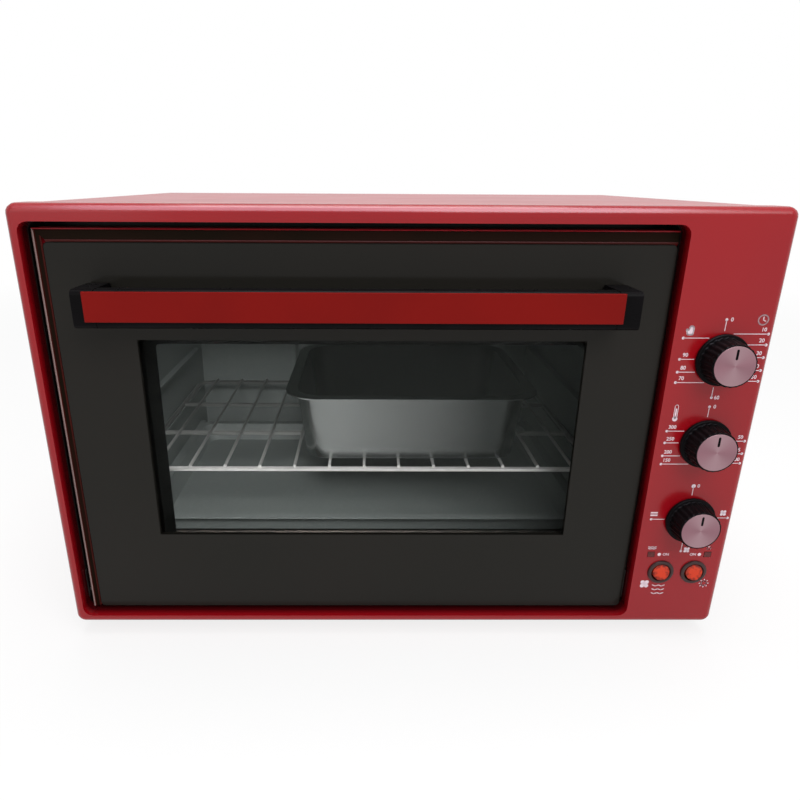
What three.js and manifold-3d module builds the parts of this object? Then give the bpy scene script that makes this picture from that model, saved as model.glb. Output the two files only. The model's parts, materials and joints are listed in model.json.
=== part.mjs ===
// Countertop electric oven, in millimetres, +Z up, +X to the right, the front facing -Y.
// Everything is laid out from the middle of the bezel's bottom front edge, and the finished
// group is moved so that its origin is the middle of the footprint, on the worktop.

import * as THREE from "three";
import { mergeVertices } from "three/addons/utils/BufferGeometryUtils.js";
import Module from "manifold-3d";

const wasm = await Module();
wasm.setup();

// Overall sizes
const bezelWidth = 590;
const bezelHeight = 372;
const cabinetDepth = 386;
const footDrop = 14;

// Sizes shared by many pieces
const sheet = 1;
const seat = 0.3;
const overrun = 6;
const weldDepth = 0.5;

// Front bezel: a moulded shell, open at the back, with a recess round the door
const bezelDepth = 26;
const bezelWall = 2.5;
const bezelEdgeRadius = 6;
const bezelCornerRadius = 8;
const rearRimThickness = 2;
const leftStrip = 8.3;
const topStrip = 13.2;
const bottomStrip = 8;
const panelWidth = 80;
const recessDepth = 15.5;
const recessRadius = 8;
const bossRadius = 9;
const screwBossRadius = 4;
const screwPilotRadius = 1.3;
const screwBossInset = 10;
const ribThickness = 1.5;
const ribDepth = 8;

// Controls
const knobFromSide = 39;
const topKnobHeight = 255;
const knobPitch = 72.5;
const panelHoleRadius = 5;
const switchPitch = 29.7;
const switchHeight = 56.2;
const switchFromSide = 40.9;
const pilotPitch = 50.7;
const pilotHeight = 74.2;
const pilotFromSide = 41.5;
const pilotWidth = 6;
const pilotTall = 5;
const pilotLedge = 1;
const pilotProud = 0.25;
const pilotRadius = 0.5;

// Sheet pocket that the door closes into, with the plate behind the control panel
const plateGap = 1.5;
const pocketStep = 0.8;
const pocketDepth = 39.5;
const leftLand = 34;
const rightLand = 20;
const topLand = 18;
const bottomLand = 23.5;

// Cabinet sheets
const wrapInset = 5;
const wrapTopDrop = 0.5;
const wrapCornerRadius = 6;
const flangeWidth = 9;

// Vent slots in the cabinet sheets
const slotWide = 4;
const sideSlotLong = 34;
const sideSlotRows = 8;
const sideSlotPitch = 10;
const sideSlotsFromBottom = 93;
const sideSlotsFromRear = 68;
const baseSlotLong = 68;
const baseSlotRows = 7;
const baseSlotPitch = 22;
const baseSlotsFromFront = 129;
const baseSlotsFromMiddle = 68;
const rearSlotLong = 30;
const rearSlotRows = 8;
const rearSlotPitch = 11;
const rearSlotColumns = 3;
const rearColumnPitch = 38;
const panelSlotRows = 7;
const panelSlotPitch = 12;
const shieldSlotLong = 136;
const shieldSlotRows = 6;
const shieldSlotPitch = 34;

// Cavity
const cavityRearGap = 33.5;
const cavityRadius = 9;
const cavityFlange = 6;
const runnerReach = 7;
const runnerTall = 9;
const runnerLip = 3;
const runnerFirst = 77;
const runnerPitch = 51.5;
const runnerCount = 4;
const runnerFront = 12;
const runnerRearGap = 32;

// Door
const doorGapLeft = 4.4;
const doorGapRight = 1.7;
const doorGapTop = 4.2;
const doorGapBottom = 2.5;
const glassFront = 10;
const glassThickness = 4;
const glassMarginLeft = 7;
const glassMarginRight = 0.5;
const glassMarginTop = 10.6;
const glassMarginBottom = 0.7;
const glassRadius = 4;
const doorPanDepth = 19;
const doorPanRadius = 4;
const windowFromLeft = 70.3;
const windowFromRight = 61.7;
const windowFromBottom = 77.5;
const windowFromTop = 86.8;
const windowRadius = 4;
const windowRelief = 5;
const innerPanelDepth = 3;
const innerPanelInset = 4.5;
const innerWindowFromLeft = 71.5;
const innerWindowFromRight = 47;
const innerWindowFromBottom = 55;
const innerWindowFromTop = 91.8;
const innerGlassThickness = 3;
const innerGlassMargin = 9;
const sealWidth = 7;
const sealInset = 3;
const sealLift = 16;

// Door hinges: a fixed plate and pin at each bottom corner, an arm inside the door
const pivotBehindGlass = 8.8;
const pivotAboveDoor = 14;
const hingePinRadius = 2;
const hingePinLength = 13;
const hingePlateTall = 30;
const hingeArmTall = 60;
const hingeArmThickness = 6;

// Handle
const handleFromLeft = 39;
const handleFromRight = 38;
const handleFromTop = 40.8;
const handleTall = 29;
const handleBarDepth = 15;
const handleReach = 39;
const handleEnd = 16.5;
const handleRadius = 4;
const stripFromLeft = 9;
const stripFromRight = 13;
const stripFromTop = 1;
const stripTall = 22.5;
const stripThickness = 2;
const studRadius = 3;

// Knobs
const knobGap = 0.8;
const knobSkirtRadius = 21.25;
const knobSkirtDepth = 3;
const knobRootRadius = 18.8;
const knobTipRadius = 17.6;
const knobDepth = 19.2;
const fluteCount = 24;
const fluteDepth = 0.8;
const knobRimWidth = 1.2;
const faceThickness = 1.2;
const faceRecess = 1;
const pointerWide = 1.4;
const pointerLong = 7;
const shaftRadius = 3;
const shaftGrip = 13;
const shaftReach = 17;

// Units behind the panel
const unitFlange = 42;
const unitFlangeThickness = 1.5;
const unitRadius = 5;
const timerRadius = 20;
const timerDepth = 28;
const bellRadius = 17;
const bellDepth = 11;
const bellPostRadius = 4;
const thermostatDepth = 26;
const thermostatWide = 34;
const thermostatTerminalReach = 11;
const selectorRadius = 18;
const selectorDepth = 30;
const selectorTerminalReach = 9;
const terminalWide = 6.3;
const terminalThick = 0.8;
const terminalLong = 8;

// Rocker switches
const switchFlangeRadius = 11.5;
const switchFlangeThickness = 2;
const switchBarrelRadius = 9.7;
const switchBore = 8.6;
const switchDepth = 21;
const switchWallThickness = 1.6;
const rockerTilt = 8;
const rockerDepth = 2;
const rockerGap = 1;
const rockerCrown = 3;
const rockerAxleRadius = 1.1;
const rockerAxleGrip = 0.25;

// Wire rack
const wireRadius = 2.5;
const crossWireRadius = 1.5;
const crossWirePitch = 32.7;
const rackGapSide = 2;
const rackFront = 15;
const rackRearGap = 31;
const rackStayShares = [1 / 3, 2 / 3];
const rackCornerRadius = 14;
const rackLevel = 1;

// Drip tray
const trayRim = 7.5;
const trayTall = 21;
const trayWall = 1;
const trayTaper = 8;
const trayRearGap = 39;
const trayCornerRadius = 16;
const trayLevel = 0;

// Deep baking pan
const panTopWidth = 218;
const panBottomWidth = 202;
const panTopLength = 184;
const panTall = 66;
const panWall = 1.2;
const panRim = 9.5;
const panRadius = 26;
const panFromFront = 4.5;
const panOffset = 44.4;

// Heaters
const heaterRadius = 3.25;
const heaterBend = 28;
const heaterFront = 44;
const heaterDrop = 18;
const heaterRise = 14;
const heaterLeftGap = 36;
const heaterRuns = 3;
const heaterTerminal = 8;
const clipOverhang = 14;
const clipThickness = 1.2;
const clipWidth = 12;

// Fan, motor and guard
const fanRadius = 62;
const fanVaneDepth = 11;
const fanVaneCount = 7;
const fanVaneTilt = 15;
const fanHubRadius = 9;
const fanShaftRadius = 2;
const fanBehindGuard = 8;
const guardDepth = 27;
const guardWidth = 190;
const guardTaper = 8;
const guardLip = 7;
const guardRadius = 14;
const guardSlotPitch = 12;
const guardSlotWide = 5;
const motorWide = 56;
const motorStack = 16;
const motorStandoff = 6;
const motorFootWide = 92;
const motorFootTall = 28;
const motorLegRadius = 3;
const motorLegReach = 18.5;
const motorCornerRadius = 6;
const coilWide = 34;
const coilTall = 19;
const coilRadius = 3;

// Lamp
const lampFromSide = 48;
const lampFromTop = 44;
const lampHolderRadius = 20;
const lampHolderDepth = 26;
const lampHolderTipRadius = 10;
const lampSocketDepth = 13;
const lampCoverRadius = 21;
const lampCoverDepth = 18;
const lampCoverWall = 1.8;
const lampCoverCrownRadius = 13;
const lampCoverShoulder = 4;
const lampNeckRadius = 14;
const bulbRadius = 11;
const bulbBaseRadius = 7;

// Thermostat sensor
const sensorRadius = 2.8;
const sensorLength = 86;
const capillaryRadius = 1;
const sensorFromTop = 34;
const sensorFromWall = 6;
const sensorFront = 80;

// Feet, shield, grommet
const footRadius = 11;
const footTipRadius = 9;
const footInset = 52;
const footFromFront = 60;
const footFromRear = 46;
const shieldGap = 14;
const grommetRadius = 12;
const grommetNeck = 9;
const grommetBore = 4;
const grommetLip = 2;
const grommetFromSide = 62;
const grommetHeight = 42;

// How finely round forms are divided
const cornerSteps = 2;
const bevelSteps = 3;
const knobSides = 20;
const roundSides = 16;
const holeSides = 12;
const smallSides = 8;
const wireSides = 6;
const bendSteps = 6;
const rackCornerSteps = 3;
const tightBendSteps = 3;

// Places worked out from the sizes above
const half = bezelWidth / 2;
const opening = {
  left: -half + leftStrip,
  right: half - panelWidth,
  bottom: bottomStrip,
  top: bezelHeight - topStrip,
};
const pocket = within(opening, pocketStep, pocketStep, 0, pocketStep);
const door = within(pocket, doorGapLeft, doorGapRight, doorGapBottom, doorGapTop);
const glass = within(door, glassMarginLeft, glassMarginRight, glassMarginBottom, glassMarginTop);
const cavity = within(pocket, leftLand, rightLand, bottomLand, topLand);
const clearWindow = within(door, windowFromLeft, windowFromRight, windowFromBottom, windowFromTop);
const innerPanel = grown(door, -innerPanelInset);
const innerWindow = within(
  innerPanel, innerWindowFromLeft, innerWindowFromRight, innerWindowFromBottom, innerWindowFromTop,
);
const handle = within(
  door, handleFromLeft, handleFromRight, door.top - door.bottom - handleFromTop - handleTall, handleFromTop,
);
const plateRear = recessDepth + sheet;
const glassRear = glassFront + glassThickness;
const doorPanRear = glassRear + doorPanDepth;
const doorRear = doorPanRear + innerPanelDepth;
const cavityFront = pocketDepth + sheet;
const cavityRear = cabinetDepth - cavityRearGap;
const cavityMiddle = (cavity.left + cavity.right) / 2;
const cavityCentre = (cavity.bottom + cavity.top) / 2;
const wrapHalf = half - wrapInset;
const wrapTop = bezelHeight - wrapTopDrop;
const baseBottom = bezelWall + wrapTopDrop;
const knobX = half - knobFromSide;
const switchX = half - switchFromSide;
const pilotX = half - pilotFromSide;
const pivotY = glassFront + pivotBehindGlass;
const pivotZ = door.bottom + pivotAboveDoor;
const handleFront = glassFront - handleReach;
const knobNames = ["timer", "thermostat", "function"];
const knobHeights = knobNames.map((name, index) => topKnobHeight - index * knobPitch);
const lampX = cavity.left + lampFromSide;
const lampZ = cavity.top - lampFromTop;
const sensorZ = cavity.top - sensorFromTop;
const sideSigns = [-1, 1];

// Paints and finishes
const redPaint = finish(0x9a3539, 0.35, 0.0);
const redMoulding = finish(0x9c3438, 0.3, 0.0);
const deepRed = finish(0x88201c, 0.4, 0.0);
const darkEnamel = finish(0x2b2b2a, 0.35, 0.1);
const greyEnamel = finish(0x6d7270, 0.4, 0.2);
const zincSheet = finish(0xa8a8a6, 0.45, 0.8);
const brightSteel = finish(0xc8c8c6, 0.25, 0.95);
const brushedSilver = finish(0xcdbfc2, 0.35, 0.9);
const blackPlastic = finish(0x1a181b, 0.45, 0.0);
const darkGlass = finish(0x2d2b27, 0.08, 0.0);
const clearGlass = finish(0xcfd8d6, 0.05, 0.0);
const sealRubber = finish(0x3a3632, 0.8, 0.0);
const amberPlastic = finish(0xeb4a1e, 0.3, 0.0);
const darkRedLens = finish(0x4a0f0f, 0.2, 0.0);
const heaterMetal = finish(0x57504b, 0.5, 0.7);
const whiteCeramic = finish(0xe6e2d8, 0.6, 0.0);

function finish(color, roughness, metalness) {
  return new THREE.MeshStandardMaterial({ color, roughness, metalness });
}

// Boolean work on closed solids

function solid(geometry) {
  const plain = geometry.clone();
  plain.deleteAttribute("normal");
  plain.deleteAttribute("uv");
  const merged = mergeVertices(plain);
  return new wasm.Manifold(new wasm.Mesh({
    numProp: 3,
    vertProperties: new Float32Array(merged.attributes.position.array),
    triVerts: new Uint32Array(merged.index.array),
  }));
}

function joined(solids) {
  return solids.reduce((sum, piece) => sum.add(piece));
}

function cutBy(body, cutters) {
  return cutters.reduce((rest, cutter) => rest.subtract(cutter), body);
}

function piece(name, body, material) {
  const made = body.getMesh();
  const geometry = new THREE.BufferGeometry();
  geometry.setAttribute("position", new THREE.BufferAttribute(new Float32Array(made.vertProperties), 3));
  geometry.setIndex(new THREE.BufferAttribute(new Uint32Array(made.triVerts), 1));
  geometry.computeVertexNormals();
  const mesh = new THREE.Mesh(geometry, material);
  mesh.name = name;
  return mesh;
}

// Outlines, as rectangles with left, right, bottom and top

function grown(area, amount) {
  return {
    left: area.left - amount,
    right: area.right + amount,
    bottom: area.bottom - amount,
    top: area.top + amount,
  };
}

function within(area, fromLeft, fromRight, fromBottom, fromTop) {
  return {
    left: area.left + fromLeft,
    right: area.right - fromRight,
    bottom: area.bottom + fromBottom,
    top: area.top - fromTop,
  };
}

function centred(x, z, width, height) {
  return { left: x - width / 2, right: x + width / 2, bottom: z - height / 2, top: z + height / 2 };
}

function polygon(points) {
  return new THREE.Shape(points.map(([x, z]) => new THREE.Vector2(x, z)));
}

function outline(area, radius) {
  const { left, right, bottom, top } = area;
  const r = Math.min(radius, (right - left) / 2, (top - bottom) / 2);
  if (r <= 0) {
    return polygon([[left, bottom], [right, bottom], [right, top], [left, top]]);
  }
  const shape = new THREE.Shape();
  shape.moveTo(left + r, bottom);
  shape.lineTo(right - r, bottom);
  shape.absarc(right - r, bottom + r, r, -Math.PI / 2, 0);
  shape.absarc(right - r, top - r, r, 0, Math.PI / 2);
  shape.absarc(left + r, top - r, r, Math.PI / 2, Math.PI);
  shape.absarc(left + r, bottom + r, r, Math.PI, 1.5 * Math.PI);
  return shape;
}

// Slabs: an outline drawn in one plane and given a thickness square to it

function slabZ(shape, low, high) {
  const geometry = new THREE.ExtrudeGeometry(shape, {
    depth: high - low, bevelEnabled: false, curveSegments: cornerSteps,
  });
  geometry.translate(0, 0, low);
  return solid(geometry);
}

function slabY(shape, front, rear) {
  const geometry = new THREE.ExtrudeGeometry(shape, {
    depth: rear - front, bevelEnabled: false, curveSegments: cornerSteps,
  });
  geometry.rotateX(Math.PI / 2);
  geometry.translate(0, rear, 0);
  return solid(geometry);
}

function slabX(shape, left, right) {
  const geometry = new THREE.ExtrudeGeometry(shape, {
    depth: right - left, bevelEnabled: false, curveSegments: cornerSteps,
  });
  geometry.applyMatrix4(new THREE.Matrix4().set(0, 0, 1, left, 1, 0, 0, 0, 0, 1, 0, 0, 0, 0, 0, 1));
  return solid(geometry);
}

function rectY(area, front, rear, radius = 0) {
  return slabY(outline(area, radius), front, rear);
}

function block(left, right, front, rear, bottom, top) {
  const geometry = new THREE.BoxGeometry(right - left, rear - front, top - bottom);
  geometry.translate((left + right) / 2, (front + rear) / 2, (bottom + top) / 2);
  return solid(geometry);
}

function rodY(x, z, radius, front, rear, sides = roundSides) {
  const geometry = new THREE.CylinderGeometry(radius, radius, rear - front, sides);
  geometry.translate(x, (front + rear) / 2, z);
  return solid(geometry);
}

function rodX(y, z, radius, left, right, sides = roundSides) {
  const geometry = new THREE.CylinderGeometry(radius, radius, right - left, sides);
  geometry.rotateZ(Math.PI / 2);
  geometry.translate((left + right) / 2, y, z);
  return solid(geometry);
}

// A profile of [radius, distance] pairs, in either direction, turned about a line along Y or Z

function turned(profile, sides) {
  const points = profile.map(([radius, along]) => new THREE.Vector2(radius, along));
  if (THREE.ShapeUtils.area(points) < 0) {
    points.reverse();
  }
  return new THREE.LatheGeometry(points, sides);
}

function turnedY(profile, x, z, sides = roundSides) {
  const geometry = turned(profile, sides);
  geometry.translate(x, 0, z);
  return solid(geometry);
}

function turnedZ(profile, x, y, sides = roundSides) {
  const geometry = turned(profile, sides);
  geometry.rotateX(Math.PI / 2);
  geometry.translate(x, y, 0);
  return solid(geometry);
}

// A body between two rings of [x, y] points, each capped from its centre

function lofted(lowRing, lowZ, highRing, highZ, centre) {
  const count = lowRing.length;
  const faces = [];
  for (let i = 0; i < count; i += 1) {
    const next = (i + 1) % count;
    faces.push([i, next, count + next], [i, count + next, count + i]);
    faces.push([2 * count, next, i], [2 * count + 1, count + i, count + next]);
  }
  const points = [
    ...lowRing.map(([x, y]) => [x, y, lowZ]),
    ...highRing.map(([x, y]) => [x, y, highZ]),
    [...centre, lowZ], [...centre, highZ],
  ];
  return solid(indexed(points, faces));
}

function indexed(points, faces) {
  const geometry = new THREE.BufferGeometry();
  geometry.setAttribute("position", new THREE.Float32BufferAttribute(points.flat(), 3));
  geometry.setIndex(faces.flat());
  return geometry;
}

// A tapered block between two rounded rectangles, the lower one first

function tapered(lower, lowZ, upper, highZ, lowerRadius, upperRadius) {
  const ring = (area, radius) => (
    outline(area, radius).getPoints(cornerSteps).slice(1).map((point) => [point.x, point.y])
  );
  const centre = [(lower.left + lower.right) / 2, (lower.bottom + lower.top) / 2];
  return lofted(ring(lower, lowerRadius), lowZ, ring(upper, upperRadius), highZ, centre);
}

// A tube through a list of points, with one ring at each point

class Route extends THREE.Curve {
  constructor(points) {
    super();
    this.points = points;
  }

  getPointAt(share, target = new THREE.Vector3()) {
    const place = share * (this.points.length - 1);
    const index = Math.min(Math.floor(place), this.points.length - 2);
    return target.copy(this.points[index]).lerp(this.points[index + 1], place - index);
  }

  getTangentAt(share, target = new THREE.Vector3()) {
    const last = this.points.length - 1;
    const index = Math.round(share * last);
    const before = this.points[Math.max(index - 1, 0)];
    const here = this.points[index];
    const after = this.points[Math.min(index + 1, last)];
    const arriving = new THREE.Vector3().subVectors(here, before).normalize();
    const leaving = new THREE.Vector3().subVectors(after, here).normalize();
    return target.addVectors(arriving, leaving).normalize();
  }
}

function roundSection(radius, sides) {
  const points = [];
  for (let i = 0; i < sides; i += 1) {
    const angle = (2 * Math.PI * (i + 0.5)) / sides;
    points.push(new THREE.Vector2(radius * Math.cos(angle), radius * Math.sin(angle)));
  }
  return new THREE.Shape(points);
}

function tube(points, radius, sides = wireSides) {
  return solid(new THREE.ExtrudeGeometry(roundSection(radius, sides), {
    steps: points.length - 1, extrudePath: new Route(points), bevelEnabled: false,
  }));
}

function arcPoints(x, y, z, radius, fromAngle, toAngle, steps = bendSteps) {
  const points = [];
  for (let i = 0; i <= steps; i += 1) {
    const angle = fromAngle + ((toAngle - fromAngle) * i) / steps;
    points.push(new THREE.Vector3(x + radius * Math.cos(angle), y + radius * Math.sin(angle), z));
  }
  return points;
}

// Punched slots, one above the other, from the middle of the lowest

function slotRows(rows, pitch, across, up, long) {
  return Array.from({ length: rows }, (unused, row) => (
    outline(centred(across, up + row * pitch, long, slotWide), 0)
  ));
}

// Front bezel

function bezelShell() {
  const face = { left: -half, right: half, bottom: 0, top: bezelHeight };
  const geometry = new THREE.ExtrudeGeometry(
    outline(grown(face, -bezelEdgeRadius), bezelCornerRadius - bezelEdgeRadius),
    {
      depth: bezelDepth, bevelEnabled: true, bevelThickness: bezelEdgeRadius,
      bevelSize: bezelEdgeRadius, bevelSegments: bevelSteps, curveSegments: cornerSteps,
    },
  );
  geometry.rotateX(Math.PI / 2);
  geometry.translate(0, bezelDepth + bezelEdgeRadius, 0);
  const rounded = solid(geometry);
  return rounded.subtract(rectY(grown(face, overrun), bezelDepth, bezelDepth + bezelWidth));
}

function bezelHollow() {
  const face = { left: -half, right: half, bottom: 0, top: bezelHeight };
  const inside = grown(face, -bezelWall);
  const rimWidth = wrapInset + sheet;
  const kept = {
    left: -half + rimWidth, right: half - rimWidth, bottom: inside.bottom, top: inside.top,
  };
  return joined([
    rectY(inside, bezelWall, bezelDepth - rearRimThickness, bezelCornerRadius - bezelWall),
    rectY(kept, bezelDepth - rearRimThickness - overrun, bezelDepth + overrun),
  ]);
}

function panelHoles(knobRadius, switchRadius, pilotGrowth, front, rear) {
  const holes = [];
  knobHeights.forEach((height) => holes.push(rodY(knobX, height, knobRadius, front, rear, holeSides)));
  sideSigns.forEach((sign) => {
    const x = switchX + (sign * switchPitch) / 2;
    holes.push(rodY(x, switchHeight, switchRadius, front, rear));
    const pilot = centred(pilotX + (sign * pilotPitch) / 2, pilotHeight, pilotWidth, pilotTall);
    holes.push(rectY(grown(pilot, pilotGrowth), front, rear));
  });
  return holes;
}

function screwPlaces() {
  const left = opening.right + screwBossInset;
  const right = half - screwBossInset;
  const places = [];
  [bezelWall + screwBossInset, bezelHeight - bezelWall - screwBossInset].forEach((height) => {
    [left, right].forEach((x) => places.push([x, height]));
  });
  return places;
}

function bezelRibs() {
  const left = opening.right + bezelWall - weldDepth;
  const right = half - bezelWall + weldDepth;
  return knobHeights.map((height) => block(
    left, right, bezelWall - weldDepth, bezelWall + ribDepth,
    height + knobPitch / 2 - ribThickness, height + knobPitch / 2,
  ));
}

function frontBezel() {
  const wallFront = bezelWall - weldDepth;
  const hollow = bezelHollow().subtract(rectY(grown(opening, bezelWall), 0, recessDepth, recessRadius));
  const bosses = knobHeights.map((height) => rodY(knobX, height, bossRadius, wallFront, recessDepth));
  const screwBosses = screwPlaces().map(([x, z]) => (
    rodY(x, z, screwBossRadius, wallFront, recessDepth, smallSides)
  ));
  const screwBores = screwPlaces().map(([x, z]) => (
    rodY(x, z, screwPilotRadius, bezelWall, recessDepth + overrun, wireSides)
  ));
  const filled = joined([bezelShell().subtract(hollow), ...bosses, ...screwBosses, ...bezelRibs()]);
  return piece("front_bezel", cutBy(filled, [
    rectY(opening, -overrun, bezelDepth + overrun, recessRadius),
    ...panelHoles(panelHoleRadius, switchBarrelRadius + seat, seat, -overrun, recessDepth + overrun),
    ...screwBores,
  ]), redMoulding);
}

// Sheet frame behind the bezel

function frontFrame() {
  const plate = {
    left: -half + bezelWall + plateGap,
    right: half - bezelWall - plateGap,
    bottom: bezelWall + plateGap,
    top: bezelHeight - bezelWall - plateGap,
  };
  const body = joined([
    rectY(plate, recessDepth, plateRear, bezelCornerRadius - bezelWall - plateGap),
    rectY(grown(pocket, sheet), recessDepth, cavityFront, recessRadius),
  ]);
  const screwHoles = screwPlaces().map(([x, z]) => (
    rodY(x, z, screwPilotRadius + seat, recessDepth - overrun, plateRear + overrun, wireSides)
  ));
  return piece("front_frame", cutBy(body, [
    rectY(pocket, recessDepth - overrun, pocketDepth, recessRadius - pocketStep),
    rectY(cavity, recessDepth, cavityFront + overrun, cavityRadius),
    ...panelHoles(
      panelHoleRadius, switchBarrelRadius + seat, pilotLedge + seat,
      recessDepth - overrun, plateRear + overrun,
    ),
    ...screwHoles,
  ]), zincSheet);
}

// Cabinet: folded wrap, base plate and rear cover

function cabinetWrap() {
  const outer = { left: -wrapHalf, right: wrapHalf, bottom: baseBottom, top: wrapTop };
  const inner = {
    left: -wrapHalf + sheet, right: wrapHalf - sheet, bottom: baseBottom - overrun, top: wrapTop - sheet,
  };
  const openBottom = { ...outer, bottom: baseBottom - wrapCornerRadius };
  const shell = rectY(openBottom, bezelDepth, cabinetDepth, wrapCornerRadius)
    .subtract(rectY(inner, bezelDepth - overrun, cabinetDepth + overrun, wrapCornerRadius - sheet))
    .subtract(block(
      -wrapHalf - overrun, wrapHalf + overrun, bezelDepth - overrun, cabinetDepth + overrun,
      baseBottom - 2 * wrapCornerRadius, baseBottom,
    ));
  const slots = sideSigns.flatMap((sign) => slotRows(
    sideSlotRows, sideSlotPitch, cabinetDepth - sideSlotsFromRear, sideSlotsFromBottom, sideSlotLong,
  ).map((slot) => slabX(slot, sign * wrapHalf - overrun, sign * wrapHalf + overrun)));
  return piece("cabinet_wrap", cutBy(shell, slots), redPaint);
}

function basePlate() {
  const reach = wrapHalf - sheet - seat;
  const front = plateRear;
  const rear = cabinetDepth - sheet - seat;
  const tray = block(-reach, reach, front, rear, baseBottom, baseBottom + flangeWidth)
    .subtract(block(
      -reach + sheet, reach - sheet, front - overrun, rear + overrun,
      baseBottom + sheet, baseBottom + flangeWidth + overrun,
    ));
  const slots = sideSigns.flatMap((sign) => slotRows(
    baseSlotRows, baseSlotPitch, sign * baseSlotsFromMiddle, baseSlotsFromFront, baseSlotLong,
  ).map((slot) => slabZ(slot, baseBottom - overrun, baseBottom + overrun)));
  const underPocket = block(
    pocket.left - sheet - seat, pocket.right + sheet + seat, front - overrun, cavityFront + seat,
    pocket.bottom - sheet - seat, pocket.bottom + flangeWidth + overrun,
  );
  return piece("base_plate", cutBy(tray, [...slots, underPocket]), zincSheet);
}

function rearCover() {
  const reach = wrapHalf - sheet - seat;
  const area = { left: -reach, right: reach, bottom: baseBottom, top: wrapTop - sheet - seat };
  const front = cabinetDepth - flangeWidth;
  const flangeArea = { ...area, bottom: area.bottom + flangeWidth + seat };
  const radius = wrapCornerRadius - sheet - seat;
  const body = joined([
    rectY(area, cabinetDepth - sheet, cabinetDepth, radius),
    rectY(flangeArea, front, cabinetDepth, radius).subtract(
      rectY(grown(flangeArea, -sheet), front - overrun, cabinetDepth - sheet, radius - sheet),
    ),
  ]);
  const rowsHigh = (rearSlotRows - 1) * rearSlotPitch;
  const slots = slotRows(
    panelSlotRows, panelSlotPitch, knobX, topKnobHeight - panelSlotRows * panelSlotPitch, rearSlotLong,
  );
  for (let column = 0; column < rearSlotColumns; column += 1) {
    const x = cavityMiddle + (column - (rearSlotColumns - 1) / 2) * rearColumnPitch;
    slots.push(...slotRows(rearSlotRows, rearSlotPitch, x, cavityCentre - rowsHigh / 2, rearSlotLong));
  }
  const grommetHole = rodY(
    half - grommetFromSide, grommetHeight, grommetNeck + seat, front - overrun, cabinetDepth + overrun,
  );
  return piece("rear_cover", cutBy(body, [
    ...slots.map((slot) => slabY(slot, front - overrun, cabinetDepth + overrun)), grommetHole,
  ]), zincSheet);
}

function cordGrommet() {
  const rear = cabinetDepth;
  const inner = rear - sheet;
  return piece("cord_grommet", turnedY([
    [grommetBore, inner - grommetLip],
    [grommetRadius, inner - grommetLip],
    [grommetRadius, inner],
    [grommetNeck, inner],
    [grommetNeck, rear],
    [grommetRadius, rear],
    [grommetRadius - grommetLip, rear + grommetLip],
    [grommetBore, rear + grommetLip],
    [grommetBore, inner - grommetLip],
  ], half - grommetFromSide, grommetHeight), blackPlastic);
}

function feet() {
  const places = [
    ["foot_front_left", -half + footInset, footFromFront],
    ["foot_front_right", half - footInset, footFromFront],
    ["foot_rear_left", -half + footInset, cabinetDepth - footFromRear],
    ["foot_rear_right", half - footInset, cabinetDepth - footFromRear],
  ];
  return places.map(([name, x, y]) => piece(name, turnedZ([
    [0, -footDrop],
    [footTipRadius, -footDrop],
    [footRadius, -sheet],
    [footRadius, baseBottom],
    [0, baseBottom],
  ], x, y, holeSides), blackPlastic));
}

function heatShield() {
  const left = cavity.right + shieldGap;
  const bottom = baseBottom + sheet;
  const body = joined([
    block(left, left + sheet, cavityFront, cabinetDepth - flangeWidth - seat, bottom, cavity.top),
    block(left, left + flangeWidth, cavityFront, cabinetDepth - flangeWidth - seat, bottom, bottom + sheet),
  ]);
  const slots = slotRows(
    shieldSlotRows, shieldSlotPitch, cabinetDepth / 2, cavity.bottom + shieldSlotPitch, shieldSlotLong,
  ).map((slot) => slabX(slot, left - overrun, left + overrun));
  return piece("heat_shield", cutBy(body, slots), zincSheet);
}

// Cavity with pressed runners

// A runner's section, flat on top and sloping back to the wall below, drawn in by a wall's thickness

function runnerProfile(side, level, inset) {
  const wall = side < 0 ? cavity.left : cavity.right;
  const top = runnerFirst + level * runnerPitch;
  const reach = runnerReach - inset;
  const slope = (runnerTall - runnerLip) / runnerReach;
  const wallFoot = top - runnerTall + inset * Math.hypot(1, slope);
  return polygon([
    [-overrun, top - inset],
    [reach, top - inset],
    [reach, wallFoot + slope * reach],
    [-overrun, wallFoot - slope * overrun],
  ].map(([out, height]) => [wall - side * out, height]));
}

function ovenCavity() {
  const shell = joined([
    rectY(grown(cavity, sheet), cavityFront, cavityRear + sheet, cavityRadius + sheet),
    rectY(grown(cavity, cavityFlange), cavityFront, cavityFront + sheet, cavityRadius),
  ]).subtract(rectY(cavity, cavityFront - overrun, cavityRear, cavityRadius));
  const ridges = [];
  const dimples = [];
  const front = cavityFront + runnerFront;
  const rear = cavityRear - runnerRearGap;
  for (let level = 0; level < runnerCount; level += 1) {
    sideSigns.forEach((side) => {
      ridges.push(slabY(runnerProfile(side, level, 0), front, rear));
      dimples.push(slabY(runnerProfile(side, level, sheet), front + sheet, rear - sheet));
    });
  }
  const outside = grown(cavity, sheet);
  const beyondWalls = [
    block(outside.left - 2 * overrun, outside.left, front - sheet, rear + sheet, cavity.bottom, cavity.top),
    block(outside.right, outside.right + 2 * overrun, front - sheet, rear + sheet, cavity.bottom, cavity.top),
  ];
  const pressed = cutBy(joined([shell, ...ridges]), [...dimples, ...beyondWalls]);
  return piece("oven_cavity", cutBy(pressed, cavityHoles()), greyEnamel);
}

function cavityHoles() {
  const wallOut = cavity.right + sheet + overrun;
  const wallIn = cavity.right - overrun;
  const holes = heaterLines().flatMap(([height, front, rear]) => [front, rear].map((y) => (
    rodX(y, height, heaterRadius + seat, wallIn, wallOut, smallSides)
  )));
  const rearIn = cavityRear - overrun;
  const rearOut = cavityRear + overrun;
  holes.push(rodY(cavityMiddle, cavityCentre, fanHubRadius - sheet, rearIn, rearOut));
  holes.push(rodY(lampX, lampZ, lampNeckRadius + seat, rearIn, rearOut));
  holes.push(rodX(cavityFront + sensorFront, sensorZ, capillaryRadius + seat, wallIn, wallOut, smallSides));
  return holes;
}

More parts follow.
